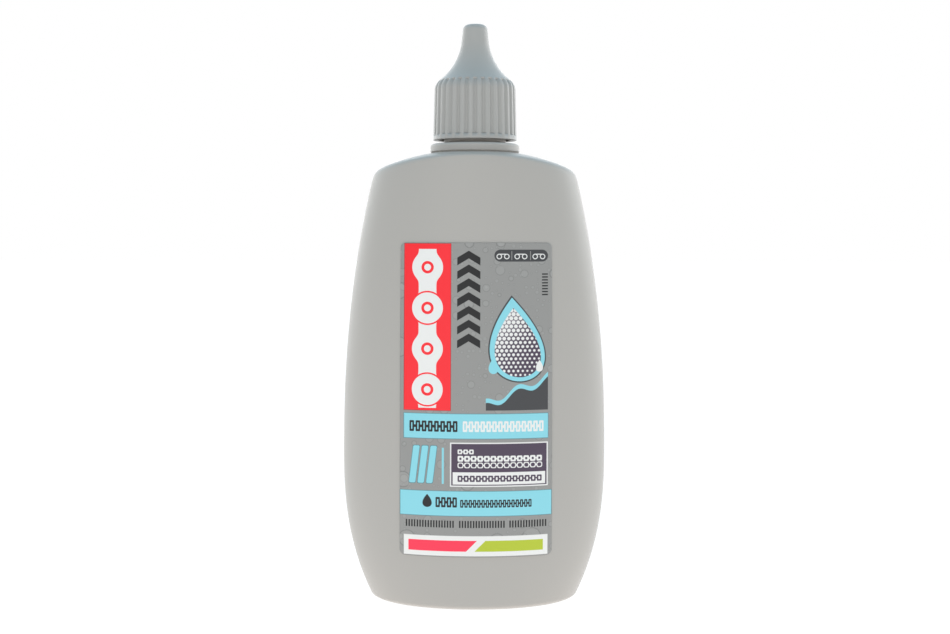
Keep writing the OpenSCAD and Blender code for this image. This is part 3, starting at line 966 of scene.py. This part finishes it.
@dataclass
class BottleForm:
    """The blown bottle: an oval body under a ball-shaped shoulder, with a hollow collar and a neck.

    The values are the solid's own sizes, in millimetres. ring_counts are the rings of the base, the
    heel, the wall, the shoulder's edge and the shoulder, which the outside has three times over.
    """

    ring_counts: ClassVar[tuple[int, ...]] = (4, 5, 26, 9, 6)
    body_w: float = 61.3
    body_d: float = 31.8
    widest_z: float = 35.6
    foot_w: float = 46.9
    foot_d: float = 29.2
    shoulder_w: float = 47.4
    shoulder_d: float = 27.2
    shoulder_z: float = 99.8
    lower_bow: float = 2.56
    upper_bow: float = 2.21
    wall: float = 1.0
    collar_seat_z: float = 104.1
    dome_r: float = 57.4
    shoulder_edge: float = 22.0
    edge_share: float = 0.2
    heel_r: float = 1.4
    heel_in: float = 3.0
    stand_ring_w: float = 2.2
    push_up: float = 1.8
    collar_r: float = 10.45
    collar_h: float = 2.2
    collar_edge_r: float = 0.7
    collar_foot_r: float = 0.35
    collar_notch: float = 0.2
    neck_r: float = 7.25
    neck_bore_r: float = 5.75
    neck_h: float = 12.6
    lip_r: float = 0.3
    root_r: float = 0.5
    bore_edge_r: float = 0.25
    notch_edge_r: float = 0.04
    join: float = 0.3
    clearance: float = 0.01
    around: int = 216
    thread: Thread = field(default_factory=lambda: Thread(110.0, 3.0, 1.9, 0.62, 1.9, 0.8))

    @property
    def collar_top_z(self) -> float:
        """Height of the collar's top."""
        return self.collar_seat_z + self.collar_h

    @property
    def rim_z(self) -> float:
        """Height of the neck's rim."""
        return self.collar_top_z + self.neck_h

    @property
    def dome_z(self) -> float:
        """Height of the centre of the shoulder's ball, which passes through the collar's foot."""
        return self.collar_seat_z - math.sqrt(self.dome_r**2 - self.collar_r**2)

    def half(self, z: Grid, middle: float, foot: float, shoulder: float) -> Grid:
        """Half a size of the body: a power curve from the widest height to the foot and the shoulder.

        Args:
            z: Heights.
            middle: The size at the widest height.
            foot: The size at the ground.
            shoulder: The size at the shoulder.

        Returns:
            Half the size at each height.
        """
        low = np.abs(z - self.widest_z) / self.widest_z
        high = np.abs(z - self.widest_z) / (self.shoulder_z - self.widest_z)
        below = middle - (middle - foot) * low**self.lower_bow
        above = middle - (middle - shoulder) * high**self.upper_bow
        return np.where(z < self.widest_z, below, above) / 2

    def halves(self, z: Grid, inset: float | Grid) -> tuple[Grid, Grid]:
        """Half the body's width and half its depth at each height, less inset."""
        return (self.half(z, self.body_w, self.foot_w, self.shoulder_w) - inset,
                self.half(z, self.body_d, self.foot_d, self.shoulder_d) - inset)

    def dome_height(self, radius: Grid | float, skin: float) -> Grid:
        """Height at which the shoulder's ball, moved in by skin, has that section radius."""
        return self.dome_z + np.sqrt((self.dome_r - skin) ** 2 - np.square(radius))

    def skin_rings(self, z: Grid, inset: float | Grid, skin: float, angles: Grid) -> Grid:
        """Sections of the body, each an ellipse that the shoulder's ball holds in softly.

        The ellipse's point is scaled by (1 + share^edge)^(-1 / edge), where share is its distance from
        the axis over the ball's section radius at that height.

        Args:
            z: The heights, a column of one for each section, or one for each point.
            inset: How far each ellipse lies inside the outer one.
            skin: How far the ball lies inside the outer one.
            angles: The angles of the ellipse's points.

        Returns:
            Places, by section, by angle, and by axis.
        """
        wide, deep = self.halves(z, inset)
        x, y = wide * np.cos(angles), deep * np.sin(angles)
        ball = np.sqrt((self.dome_r - skin) ** 2 - np.square(np.maximum(z - self.dome_z, 0)))
        share = np.hypot(x, y) / ball
        hold = (1 + share**self.shoulder_edge) ** (-1 / self.shoulder_edge)
        return np.stack([x * hold, y * hold, np.broadcast_to(z, x.shape)], axis=-1)

    def edge_radius(self, skin: float, angles: Grid) -> Grid:
        """Distance from the axis at which the wall meets the shoulder's ball, found in two steps.

        Args:
            skin: How far the surface lies inside the outer one.
            angles: The angles of the ellipse's points.

        Returns:
            The distance at each angle.
        """
        z = np.full_like(angles, self.shoulder_z)
        for _ in range(2):
            wide, deep = self.halves(z, skin)
            reach = np.hypot(wide * np.cos(angles), deep * np.sin(angles))
            z = self.dome_height(reach, skin)
        return reach

    def body_rings(self, skin: float, angles: Grid, top_r: float, finer: int = 1) -> Grid:
        """The body from the middle of its base to the section radius top_r of the shoulder.

        The base rises by push_up times (1 - s^3) towards its middle, the heel is a quarter ellipse,
        the wall goes by height, and the shoulder goes by the radius of its ball's section, with close
        rings round its edge. On the shoulder the points turn from the ellipse's angles to true ones.

        Args:
            skin: How far the surface lies inside the outer one.
            angles: The angles of the points round each ring.
            top_r: Where the shoulder ends.
            finer: How many times the ring counts the surface has.

        Returns:
            Places, by ring, by angle, and by axis.
        """
        low, heel, wall, edge, top = (steps(count * finer) for count in self.ring_counts)
        stand = self.skin_rings(np.zeros((1, 1)), skin + self.heel_in + self.stand_ring_w, skin, angles)
        base = stand * low[:, :, None]
        base[:, :, 2] = skin + self.push_up * (1 - low**3)
        turn = np.vstack([[[0.0]], heel]) * math.pi / 2
        rim_r = self.edge_radius(skin, angles)
        heel_z = skin + self.heel_r
        wall_z = heel_z + (self.dome_height(rim_r * (1 + self.edge_share), skin) - heel_z) * wall
        edge_z = self.dome_height(rim_r * (1 + self.edge_share * (1 - 2 * edge)), skin)
        inner_r = rim_r * (1 - self.edge_share)
        dome_z = self.dome_height(inner_r + (top_r - inner_r) * top, skin)
        wide, deep = self.halves(dome_z, skin)
        true = np.arctan2(wide * np.sin(angles), deep * np.cos(angles))
        lag = (true - angles + math.pi) % FULL_TURN - math.pi
        return np.concatenate([
            base,
            self.skin_rings(skin + self.heel_r * (1 - np.cos(turn)),
                            skin + self.heel_in * (1 - np.sin(turn)), skin, angles),
            self.skin_rings(wall_z, skin, skin, angles),
            self.skin_rings(edge_z, skin, skin, angles),
            self.skin_rings(dome_z, skin, skin, angles + lag * top),
        ])

    def neck_outline(self) -> Grid:
        """The outline of collar and neck, from the shoulder up over the rim and down the bore.

        Returns:
            Radius and height, by point.
        """
        foot_share, inner_join, longest = 0.95, 0.8, 0.22
        hollow_r, hollow_z = self.collar_r - self.wall, self.collar_top_z - self.wall
        shelf_r, notch_r = self.collar_r + self.join, self.collar_r - self.collar_foot_r
        notch_z = self.collar_seat_z + self.collar_notch
        end_r = hollow_r + inner_join
        return rounded_outline([
            (shelf_r, self.dome_height(shelf_r, 0), 0),
            (notch_r, self.dome_height(notch_r, 0), self.notch_edge_r),
            (notch_r, notch_z, 0),
            (self.collar_r, notch_z, foot_share * self.collar_foot_r),
            (self.collar_r, self.collar_top_z, self.collar_edge_r),
            (self.neck_r, self.collar_top_z, self.root_r),
            (self.neck_r, self.rim_z, self.lip_r),
            (self.neck_bore_r, self.rim_z, self.bore_edge_r),
            (self.neck_bore_r, hollow_z + self.wall, self.root_r),
            (self.neck_bore_r + self.wall, hollow_z, self.root_r),
            (hollow_r, hollow_z, self.root_r),
            (hollow_r, self.dome_height(hollow_r, self.wall), self.bore_edge_r),
            (end_r, self.dome_height(end_r, self.wall), 0),
        ], longest)

    def build(self) -> bpy.types.Object:
        """Build the whole bottle as one closed shell, outside and inside.

        Returns:
            The bottle.
        """
        angles = even_angles(self.around)
        outline = self.neck_outline()
        outside = self.body_rings(self.clearance, angles, outline[0, 0] + self.join, 3)
        inside = self.body_rings(self.wall, angles, outline[-1, 0] + self.join)[::-1]
        ridge = self.thread.ridge(outline, self.neck_r, angles)
        neck = turned_rings(outline[:, :1] + ridge, outline[:, 1:], angles)
        rings = np.concatenate([outside, neck, inside])
        return ring_mesh("bottle_shell", rings, (self.push_up, self.wall + self.push_up))


@dataclass
class DropperNozzle:
    """The soft dropper nozzle: a plug with two sealing beads, a flange and a tapering spout."""

    bottle: BottleForm
    plug_h: float = 7.0
    plug_gap: float = 0.03
    flange_t: float = 1.0
    flange_inset: float = 0.2
    wall: float = 0.95
    height: float = 11.2
    spout_in: float = 2.0
    waist_out: float = 1.1
    tip_r: float = 1.65
    orifice_r: float = 0.5
    orifice_h: float = 1.8
    bead_shares: tuple[float, float] = (0.28, 0.64)
    bead_half: float = 0.4
    bead_rise: float = 0.02
    bead_edge_r: float = 0.1
    around: int = 96

    @property
    def flange_r(self) -> float:
        """The flange's radius."""
        return self.bottle.neck_r - self.flange_inset

    @property
    def flange_top_z(self) -> float:
        """Height of the flange's top."""
        return self.bottle.rim_z + self.flange_t

    @property
    def top_z(self) -> float:
        """Height of the nozzle's tip."""
        return self.flange_top_z + self.height

    def build(self) -> bpy.types.Object:
        """Turn the nozzle's outline into a closed tube.

        Returns:
            The nozzle.
        """
        rim_z, longest, closing = self.bottle.rim_z, 0.5, 0.05
        plug_r = self.bottle.neck_bore_r - self.plug_gap
        plug_z = rim_z - self.plug_h
        spout_r, waist_r = self.flange_r - self.spout_in, self.tip_r + self.waist_out
        waist_z = self.flange_top_z + self.height / 2
        beads = [(plug_r + rise, plug_z + share * self.plug_h + side * self.bead_half, self.bead_edge_r)
                 for share in self.bead_shares for side, rise in ((-1, 0), (0, self.bead_rise), (1, 0))]
        outline = rounded_outline([
            (plug_r - self.wall, plug_z, 0),
            (plug_r, plug_z, 0.4),
            *beads,
            (plug_r, rim_z, 0.05),
            (self.flange_r, rim_z, 0.2),
            (self.flange_r, self.flange_top_z, 0.25),
            (spout_r, self.flange_top_z, 0.5),
            (waist_r, waist_z, 6.0),
            (self.tip_r, self.top_z, 0.3),
            (self.orifice_r, self.top_z, 0.15),
            (self.orifice_r, self.top_z - self.orifice_h, 0.1),
            (waist_r - self.wall, waist_z, 1.0),
            (spout_r - self.wall, self.flange_top_z, 0.5),
            (plug_r - self.wall, rim_z - self.wall, 0.5),
            (plug_r - self.wall, plug_z + closing, 0),
        ], longest)
        rings = turned_rings(outline[:, :1], outline[:, 1:], even_angles(self.around))
        return ring_mesh("dropper_nozzle", rings)


@dataclass
class ScrewCap:
    """The moulded cap: a grooved skirt with a rounded corner, a flare, and a slightly drafted tip."""

    bottle: BottleForm
    nozzle: DropperNozzle
    crest_r: float = 9.78
    skirt_draft: float = math.radians(1.3)
    band_r: float = 9.82
    band_h: float = 1.2
    band_lip: float = 0.4
    grooves: int = 30
    groove_half: float = 0.7
    groove_depth: float = 0.48
    groove_dip: float = 0.12
    groove_end: float = math.radians(4)
    corner_r: float = 3.0
    deck_rise: float = 2.0
    tip_r: float = 3.2
    tip_draft: float = math.radians(6)
    tip_h: float = 3.9
    tip_edge_r: float = 1.4
    cone_h: float = 10.65
    bore_r: float = 8.4
    cone_wall: float = 1.0
    deck_seat_w: float = 0.55
    skirt_gap: float = 0.9
    seat_gap: float = 0.05
    pin_gap: float = 0.08
    tip_gap: float = 1.2
    pin_in: float = 1.2
    edge_r: float = 0.12
    thread: Thread = field(default_factory=lambda: Thread(109.4, 3.0, 2.0, 0.62, 1.5, 0.6))

    def __post_init__(self) -> None:
        """Work out the flare, whose circle touches the skirt's corner and the tip's side at its foot."""
        self.skirt_z = self.bottle.collar_top_z + self.skirt_gap
        self.groove_z = self.skirt_z + self.band_h - self.groove_dip
        self.deck_z = self.nozzle.flange_top_z + self.seat_gap
        self.pin_z = self.nozzle.top_z - self.pin_in
        self.tip_foot_z = self.deck_z + self.cone_h
        self.top_z = self.tip_foot_z + self.tip_h
        corner_z = self.deck_z + self.deck_rise - self.corner_r
        corner_x = self.crest_at(corner_z) - self.corner_r / math.cos(self.skirt_draft)
        self.corner = np.array([corner_x, corner_z])
        self.tip_out = direction(self.tip_draft)
        tip_foot = np.array([self.tip_r, self.tip_foot_z])
        way = tip_foot - self.corner
        self.flare_r = float((way @ way - self.corner_r**2) / (2 * (self.corner_r - way @ self.tip_out)))
        self.flare = tip_foot + self.flare_r * self.tip_out
        self.flare_turn = math.atan2(*(self.flare - self.corner)[::-1])

    def crest_at(self, z: float) -> float:
        """Radius of the drafted skirt over its ribs at the height z."""
        return self.crest_r - math.tan(self.skirt_draft) * (z - self.skirt_z)

    def outside(self) -> Grid:
        """The outline of the outside, from the skirt's lower edge to the top of the tip.

        Returns:
            Radius and height, by point.
        """
        longest, bevel_r, ledge_rises = 1.5, 0.05, (-0.01, 0.03, 0.07)
        band_z = self.skirt_z + self.band_h
        crest_z = band_z + self.band_r - self.crest_at(band_z)
        side = self.corner + self.corner_r * direction(self.skirt_draft)
        skirt = rounded_outline([
            (self.band_r - self.band_lip, self.skirt_z, 0),
            (self.band_r, self.skirt_z, self.edge_r),
            (self.band_r, band_z, bevel_r),
            (self.crest_at(crest_z), crest_z, bevel_r),
            (*side, 0),
        ], longest)
        ledge = np.array([[self.band_r, self.groove_z + rise] for rise in ledge_rises])
        below, above = self.groove_z - 0.02, self.groove_z + 0.08
        edge_z = self.top_z - self.tip_edge_r
        edge_x = (self.tip_r - math.tan(self.tip_draft) * (edge_z - self.tip_foot_z)
                  - self.tip_edge_r / math.cos(self.tip_draft))
        crease = self.flare_turn - self.groove_end
        return np.vstack([
            skirt[skirt[:, 1] < below][1:],
            ledge,
            skirt[skirt[:, 1] > above],
            arc(self.corner, self.corner_r, self.skirt_draft, crease, 14)[1:],
            arc(self.corner, self.corner_r, crease, self.flare_turn, 4)[1:],
            arc(self.flare, self.flare_r, math.pi + self.flare_turn, math.pi + self.tip_draft, 34)[1:],
            arc(np.array([edge_x, edge_z]), self.tip_edge_r, self.tip_draft, math.pi / 2, 14),
        ])

    def inside(self) -> Grid:
        """The outline of the inside, from the sealing pin to the skirt's lower edge.

        Returns:
            Radius and height, by point.
        """
        hollow_r = self.flare_r + self.cone_wall
        seat_r = self.nozzle.flange_r - self.deck_seat_w
        seat_turn = math.acos((self.flare[0] - seat_r) / hollow_r)
        roof_z = self.nozzle.top_z + self.tip_gap
        hollow_top = self.flare - hollow_r * self.tip_out
        roof_r = hollow_top[0] - math.tan(self.tip_draft) * (roof_z - hollow_top[1])
        pin_r = self.nozzle.orifice_r - self.pin_gap
        return np.vstack([
            rounded_outline([(pin_r / 2, self.pin_z, 0), (pin_r, self.pin_z + pin_r, 0.2),
                             (pin_r, roof_z, 0.15), (roof_r, roof_z, 0.3), (*hollow_top, 0)], 1.0),
            arc(self.flare, hollow_r, math.pi + self.tip_draft, math.pi + seat_turn, 10)[1:],
            rounded_outline([(seat_r, self.deck_z, 0), (self.bore_r, self.deck_z, 0.25),
                             (self.bore_r, self.skirt_z, 0.15),
                             (self.band_r - self.band_lip, self.skirt_z, 0)], 0.28),
        ])

    def groove_angles(self) -> Grid:
        """Place the points round the cap, five steps from a groove's middle to its edge.

        Returns:
            Their angles.
        """
        edge = math.degrees(math.asin(self.groove_half / self.crest_r))
        pitch = 360 / self.grooves
        half = np.r_[np.linspace(0, 1, 6) * edge, 0.5 * (edge + pitch / 2), pitch / 2]
        whole = np.r_[-half[:0:-1], half][1:]
        middles = (np.arange(self.grooves) + 0.5) * pitch
        return np.radians((middles[:, None] + whole[None, :]).ravel())

    def groove_cuts(self, outline: Grid, angles: Grid) -> Grid:
        """How far each groove cuts into the outside, square to the outline.

        A groove is depth times (1 - u^2)^2 deep, where u is the distance from its middle over its half
        width. It starts at the ledge above the band, runs over the rounded corner at one depth, and
        ends in a steep step at the flare.

        Args:
            outline: The outline's points.
            angles: The angles of the points.

        Returns:
            The depth of the cut, by row and angle.
        """
        pitch = FULL_TURN / self.grooves
        off = ((angles / pitch) % 1.0 - 0.5) * pitch
        across = np.minimum(np.abs(outline[:, :1] * np.sin(off)) / self.groove_half, 1)
        turn = np.arctan2(outline[:, 1] - self.corner[1], outline[:, 0] - self.corner[0])
        left = eased(np.clip((self.flare_turn - turn) / self.groove_end, 0, 1))
        left = np.where(outline[:, 1] > self.groove_z, left, 0)
        return self.groove_depth * (1 - across**2) ** 2 * left[:, None]

    def build(self) -> bpy.types.Object:
        """Turn the inside and the outside into one closed shell, with the grooves and the thread.

        Returns:
            The cap.
        """
        angles = self.groove_angles()
        inside, outside = self.inside(), self.outside()
        ridge = self.thread.ridge(inside, self.bore_r, angles)
        run = np.gradient(outside, axis=0)
        square = np.stack([run[:, 1], -run[:, 0]], axis=-1) / np.linalg.norm(run, axis=1)[:, None]
        cut = self.groove_cuts(outside, angles)
        radius = np.vstack([inside[:, :1] - ridge, outside[:, :1] - cut * square[:, :1]])
        height = np.vstack([inside[:, 1:] + 0 * ridge, outside[:, 1:] - cut * square[:, 1:]])
        return ring_mesh("screw_cap", turned_rings(radius, height, angles), (self.pin_z, self.top_z))


@dataclass
class FrontLabel:
    """The printed film on the bottle's front."""

    bottle: BottleForm
    width: float = 34.4
    height: float = 70.6
    foot_z: float = 12.6
    middle_x: float = 0.4
    corner_r: float = 1.2
    film_t: float = 0.12
    glue_t: float = 0.05
    across: int = 90
    up: int = 150
    corner_rows: int = 10

    def sheet(self, lift: float) -> Grid:
        """One face of the film, lift above the bottle.

        Rows are level, and each is as wide as the rounded rectangle at its height: the width less
        twice (r - sqrt(r^2 - (r - d)^2)) within a corner radius r of an end, d away from it. The
        face lies on the body's own ellipse, grown by lift.

        Args:
            lift: Height over the bottle's surface.

        Returns:
            Places, by row, by column, and by axis.
        """
        r = self.corner_r
        ends = r * (1 - np.cos(np.linspace(0, math.pi / 2, self.corner_rows)))
        middle = np.linspace(r, self.height - r, self.up - 2 * len(ends) + 2)[1:-1]
        rise = np.r_[ends, middle, self.height - ends[::-1]]
        near = np.clip(r - np.minimum(rise, self.height - rise), 0, r)
        row_w = self.width - 2 * (r - np.sqrt(r**2 - near**2))
        z = (self.foot_z + rise)[:, None]
        x = self.middle_x + row_w[:, None] / 2 * np.linspace(-1, 1, self.across)[None, :]
        wide, deep = self.bottle.halves(z, -lift)
        y = -deep * np.sqrt(1 - (x / wide) ** 2)
        return np.stack([x, y, np.broadcast_to(z, x.shape)], axis=-1)

    def build(self) -> bpy.types.Object:
        """Join the film's two faces by a rim into one closed sheet.

        Returns:
            The label.
        """
        front, back = self.sheet(self.glue_t + self.film_t), self.sheet(self.glue_t)
        rows, columns, _ = front.shape
        grid = np.arange(rows * columns).reshape(rows, columns)
        face = np.stack([grid[:-1, :-1], grid[:-1, 1:], grid[1:, 1:], grid[1:, :-1]], axis=-1)
        face = face.reshape(-1, 4)
        rim = np.r_[grid[0, :], grid[1:, -1], grid[-1, -2::-1], grid[-2:0:-1, 0]]
        after, behind = np.roll(rim, -1), rows * columns
        edge = np.stack([rim + behind, after + behind, after, rim], axis=-1)
        quads = np.vstack([face, face[:, ::-1] + behind, edge])
        return put_mesh("label_film", np.vstack([front.reshape(-1, 3), back.reshape(-1, 3)]), quads)


@dataclass
class LubeFill:
    """The lube in the bottle, a little inside its wall, with a level surface.

    dip is how far the surface lies below its edge, and surface_shares are the sizes of its rings.
    """

    bottle: BottleForm
    fill_z: float = 79.6
    gap: float = 0.05
    dip: float = 0.35
    dip_share: float = 0.1
    below_top: float = 0.5
    surface_shares: tuple[float, ...] = (0.985, 0.95, 0.9, 0.7, 0.4, 0.15)
    around: int = 96

    def build(self) -> bpy.types.Object:
        """Build the fill as a closed body, with a surface that turns up slightly at the wall.

        Returns:
            The lube.
        """
        angles = even_angles(self.around)
        skin, top_r = self.bottle.wall + self.gap, 12.0
        rings = self.bottle.body_rings(skin, angles, top_r)
        rings = rings[rings[:, :, 2].max(axis=1) < self.fill_z - self.below_top]
        top = self.bottle.skin_rings(np.array([[self.fill_z]]), skin, skin, angles)
        share = np.array(self.surface_shares)[:, None, None]
        surface = top * share
        surface[:, :, 2] = self.fill_z - self.dip * np.minimum((1 - share[:, :, 0]) / self.dip_share, 1)
        ends = (skin + self.bottle.push_up, self.fill_z - self.dip)
        return ring_mesh("lube_fill", np.concatenate([rings, top, surface]), ends)


def bare_sheet(owner: bpy.types.World | bpy.types.Material) -> NodeSheet:
    """Empty the nodes of a world or a material.

    Args:
        owner: The world or the material.

    Returns:
        Its nodes.
    """
    owner.use_nodes = True
    owner.node_tree.nodes.clear()
    return NodeSheet(owner.node_tree)


@dataclass
class ProductShot:
    """The camera, the light and the pale floor.

    The light is that of a white studio: a bright wall behind, a softer room in front, and a dim,
    cool ceiling.
    """

    distance: float = 330.0
    eye_z: float = 85.2
    aim_z: float = 70.0
    sensor: float = 36.0
    focal_px: float = 1400.7
    eye_drop_px: float = 83.0
    aside_px: float = 0.3
    roll: float = math.radians(-0.15)
    room_level: float = 0.37
    wall_level: float = 2.25
    ceiling_level: float = 1.0
    room_tint: Triple = (1.0, 0.97, 0.945)
    wall_tint: Triple = (0.985, 0.995, 1.0)
    ceiling_tint: Triple = (0.64, 0.9, 1.08)
    floor_size: float = 8000.0
    floor_level: float = 1.5
    floor_white: float = 1.15
    floor_glow: float = 0.85
    floor_shade: Shade = (0.9, 0.9, 0.895, 1.0)

    def camera(self) -> None:
        """Add a level camera whose frame is shifted down, as the bottle's upright sides show."""
        data = bpy.data.cameras.new("photo_camera")
        data.sensor_width = self.sensor
        data.lens = self.focal_px / PHOTO_WIDTH * self.sensor
        data.shift_x = self.aside_px / PHOTO_WIDTH
        data.shift_y = -self.eye_drop_px / PHOTO_WIDTH
        data.clip_start, data.clip_end = 0.01, 50.0
        camera = new_object("photo_camera", data)
        camera.location = (0.0, -self.distance * MM, self.eye_z * MM)
        camera.rotation_euler = (math.pi / 2, self.roll, 0.0)
        bpy.context.scene.camera = camera

    def world(self) -> None:
        """Light everything from a bright wall behind, the room in front and the ceiling."""
        world = bpy.data.worlds.new("studio_light")
        bpy.context.scene.world = world
        sheet = bare_sheet(world)
        way = sheet.parts(sheet.out("ShaderNodeTexCoord", output="Generated"))
        behind, above = (
            sheet.out("ShaderNodeMapRange", {"Value": way[axis], "From Min": start, "From Max": end},
                      "Result", interpolation_type="SMOOTHSTEP")
            for axis, start, end in (("Y", -0.05, 0.55), ("Z", 0.1, 0.85)))
        room, wall, ceiling = (
            (*(level * part for part in tint), 1.0)
            for level, tint in ((self.room_level, self.room_tint), (self.wall_level, self.wall_tint),
                                (self.ceiling_level, self.ceiling_tint)))
        colour = sheet.mix(above, sheet.mix(behind, room, wall), ceiling)
        light, white = (sheet.out("ShaderNodeBackground", {"Color": shade})
                        for shade in (colour, (1.0,) * 4))
        path = sheet.wires("ShaderNodeLightPath")
        seen = path["Is Camera Ray"].at_least(path["Is Transmission Ray"])
        mixed = sheet.out("ShaderNodeMixShader", {0: seen, 1: light, 2: white})
        sheet.add("ShaderNodeOutputWorld", {"Surface": mixed})

    def softbox(self, name: str, place: Triple, size: float, power: float, tint: Triple) -> None:
        """Add a square area lamp that faces the bottle.

        Args:
            name: The lamp's name.
            place: Its place in millimetres.
            size: The length of its side in millimetres.
            power: Its power in watts.
            tint: Its colour.
        """
        data = bpy.data.lights.new(name, "AREA")
        data.size, data.energy, data.color = size * MM, power, tint
        aim = np.array([0.0, 0.0, self.aim_z]) - np.array(place)
        lamp = new_object(name, data)
        lamp.location = tuple(part * MM for part in place)
        flat = math.hypot(aim[0], aim[1])
        lamp.rotation_euler = (math.atan2(flat, -aim[2]), 0.0, math.atan2(aim[1], aim[0]) - math.pi / 2)

    def floor(self) -> None:
        """Add the pale floor, which keeps a faint shadow."""
        signs = np.array([[-1, -1, 0], [1, -1, 0], [1, 1, 0], [-1, 1, 0]])
        piece = put_mesh("studio_floor", signs * self.floor_size / 2, np.array([[0, 1, 2, 3]]))
        material = bpy.data.materials.new("pale_floor")
        sheet = bare_sheet(material)
        matt = sheet.out("ShaderNodeBsdfDiffuse", {"Color": self.floor_shade})
        seen = sheet.out("ShaderNodeLightPath", output="Is Camera Ray")
        strength = self.floor_level - seen * (self.floor_level - self.floor_white)
        glow = sheet.out("ShaderNodeEmission", {"Strength": strength})
        mixed = sheet.out("ShaderNodeMixShader", {0: self.floor_glow, 1: matt, 2: glow})
        sheet.add("ShaderNodeOutputMaterial", {"Surface": mixed})
        piece.data.materials.append(material)

    def build(self) -> None:
        """Set the whole shot up."""
        bpy.context.scene.view_settings.view_transform = "Standard"
        self.camera()
        self.world()
        self.softbox("front_box", (-160.0, -760.0, 260.0), 420.0, 0.36, (1.0, 0.98, 0.95))
        self.softbox("right_box", (560.0, 180.0, 260.0), 320.0, 0.35, (0.97, 0.99, 1.0))
        self.floor()


@dataclass
class Dressing:
    """Which piece stands for which solid, on which body, in which finish."""

    piece: bpy.types.Object
    node: str
    body: str
    slot: str
    material: bpy.types.Material

    def apply(self) -> None:
        """Give the piece its finish, its body and its place in the frame."""
        self.piece.data.materials.append(self.material)
        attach(self.piece, self.body)
        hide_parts(self.node)
        LOG.info("%s stands for %s, %d faces", self.piece.name, self.node, len(self.piece.data.polygons))


def main() -> None:
    logging.basicConfig(level=logging.INFO)
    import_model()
    ProductShot().build()
    shop = PrintShop()
    bottle = BottleForm()
    nozzle = DropperNozzle(bottle)
    cap = ScrewCap(bottle, nozzle)
    label = FrontLabel(bottle)
    lube = LubeFill(bottle)
    grey_bottle = Plastic("satin_bottle_plastic", (178, 172, 165), roughness=0.42, peel=0.9, cloud=14.0,
                          waves=0.6, relief=0.006, mottle=0.03, seam=0.12)
    grey_cap = Plastic("satin_cap_plastic", (170, 167, 162), roughness=0.36, peel=0.5, cloud=5.0,
                       waves=0.4, relief=0.004, mottle=0.03)
    milky = Plastic("milky_nozzle_plastic", (226, 226, 221), roughness=0.4, peel=0.6, cloud=4.0,
                    waves=0.4, relief=0.004, mottle=0.02, milky=0.3)
    amber = Plastic("amber_lube", (200, 160, 70), roughness=0.08, peel=6.0, cloud=20.0,
                    waves=0.3, relief=0.01, mottle=0.06)
    printed = LabelPrint().make(shop, label.middle_x, label.foot_z)
    Dressing(bottle.build(), "bottle", "body", "bottle_plastic", grey_bottle.make(shop)).apply()
    Dressing(nozzle.build(), "nozzle_insert", "body", "nozzle_plastic", milky.make(shop)).apply()
    Dressing(cap.build(), "cap", "cap", "cap_plastic", grey_cap.make(shop)).apply()
    Dressing(label.build(), "label", "body", "label_film", printed).apply()
    Dressing(lube.build(), "lube", "body", "lube_fill", amber.make(shop)).apply()


if __name__ == "__main__":
    main()
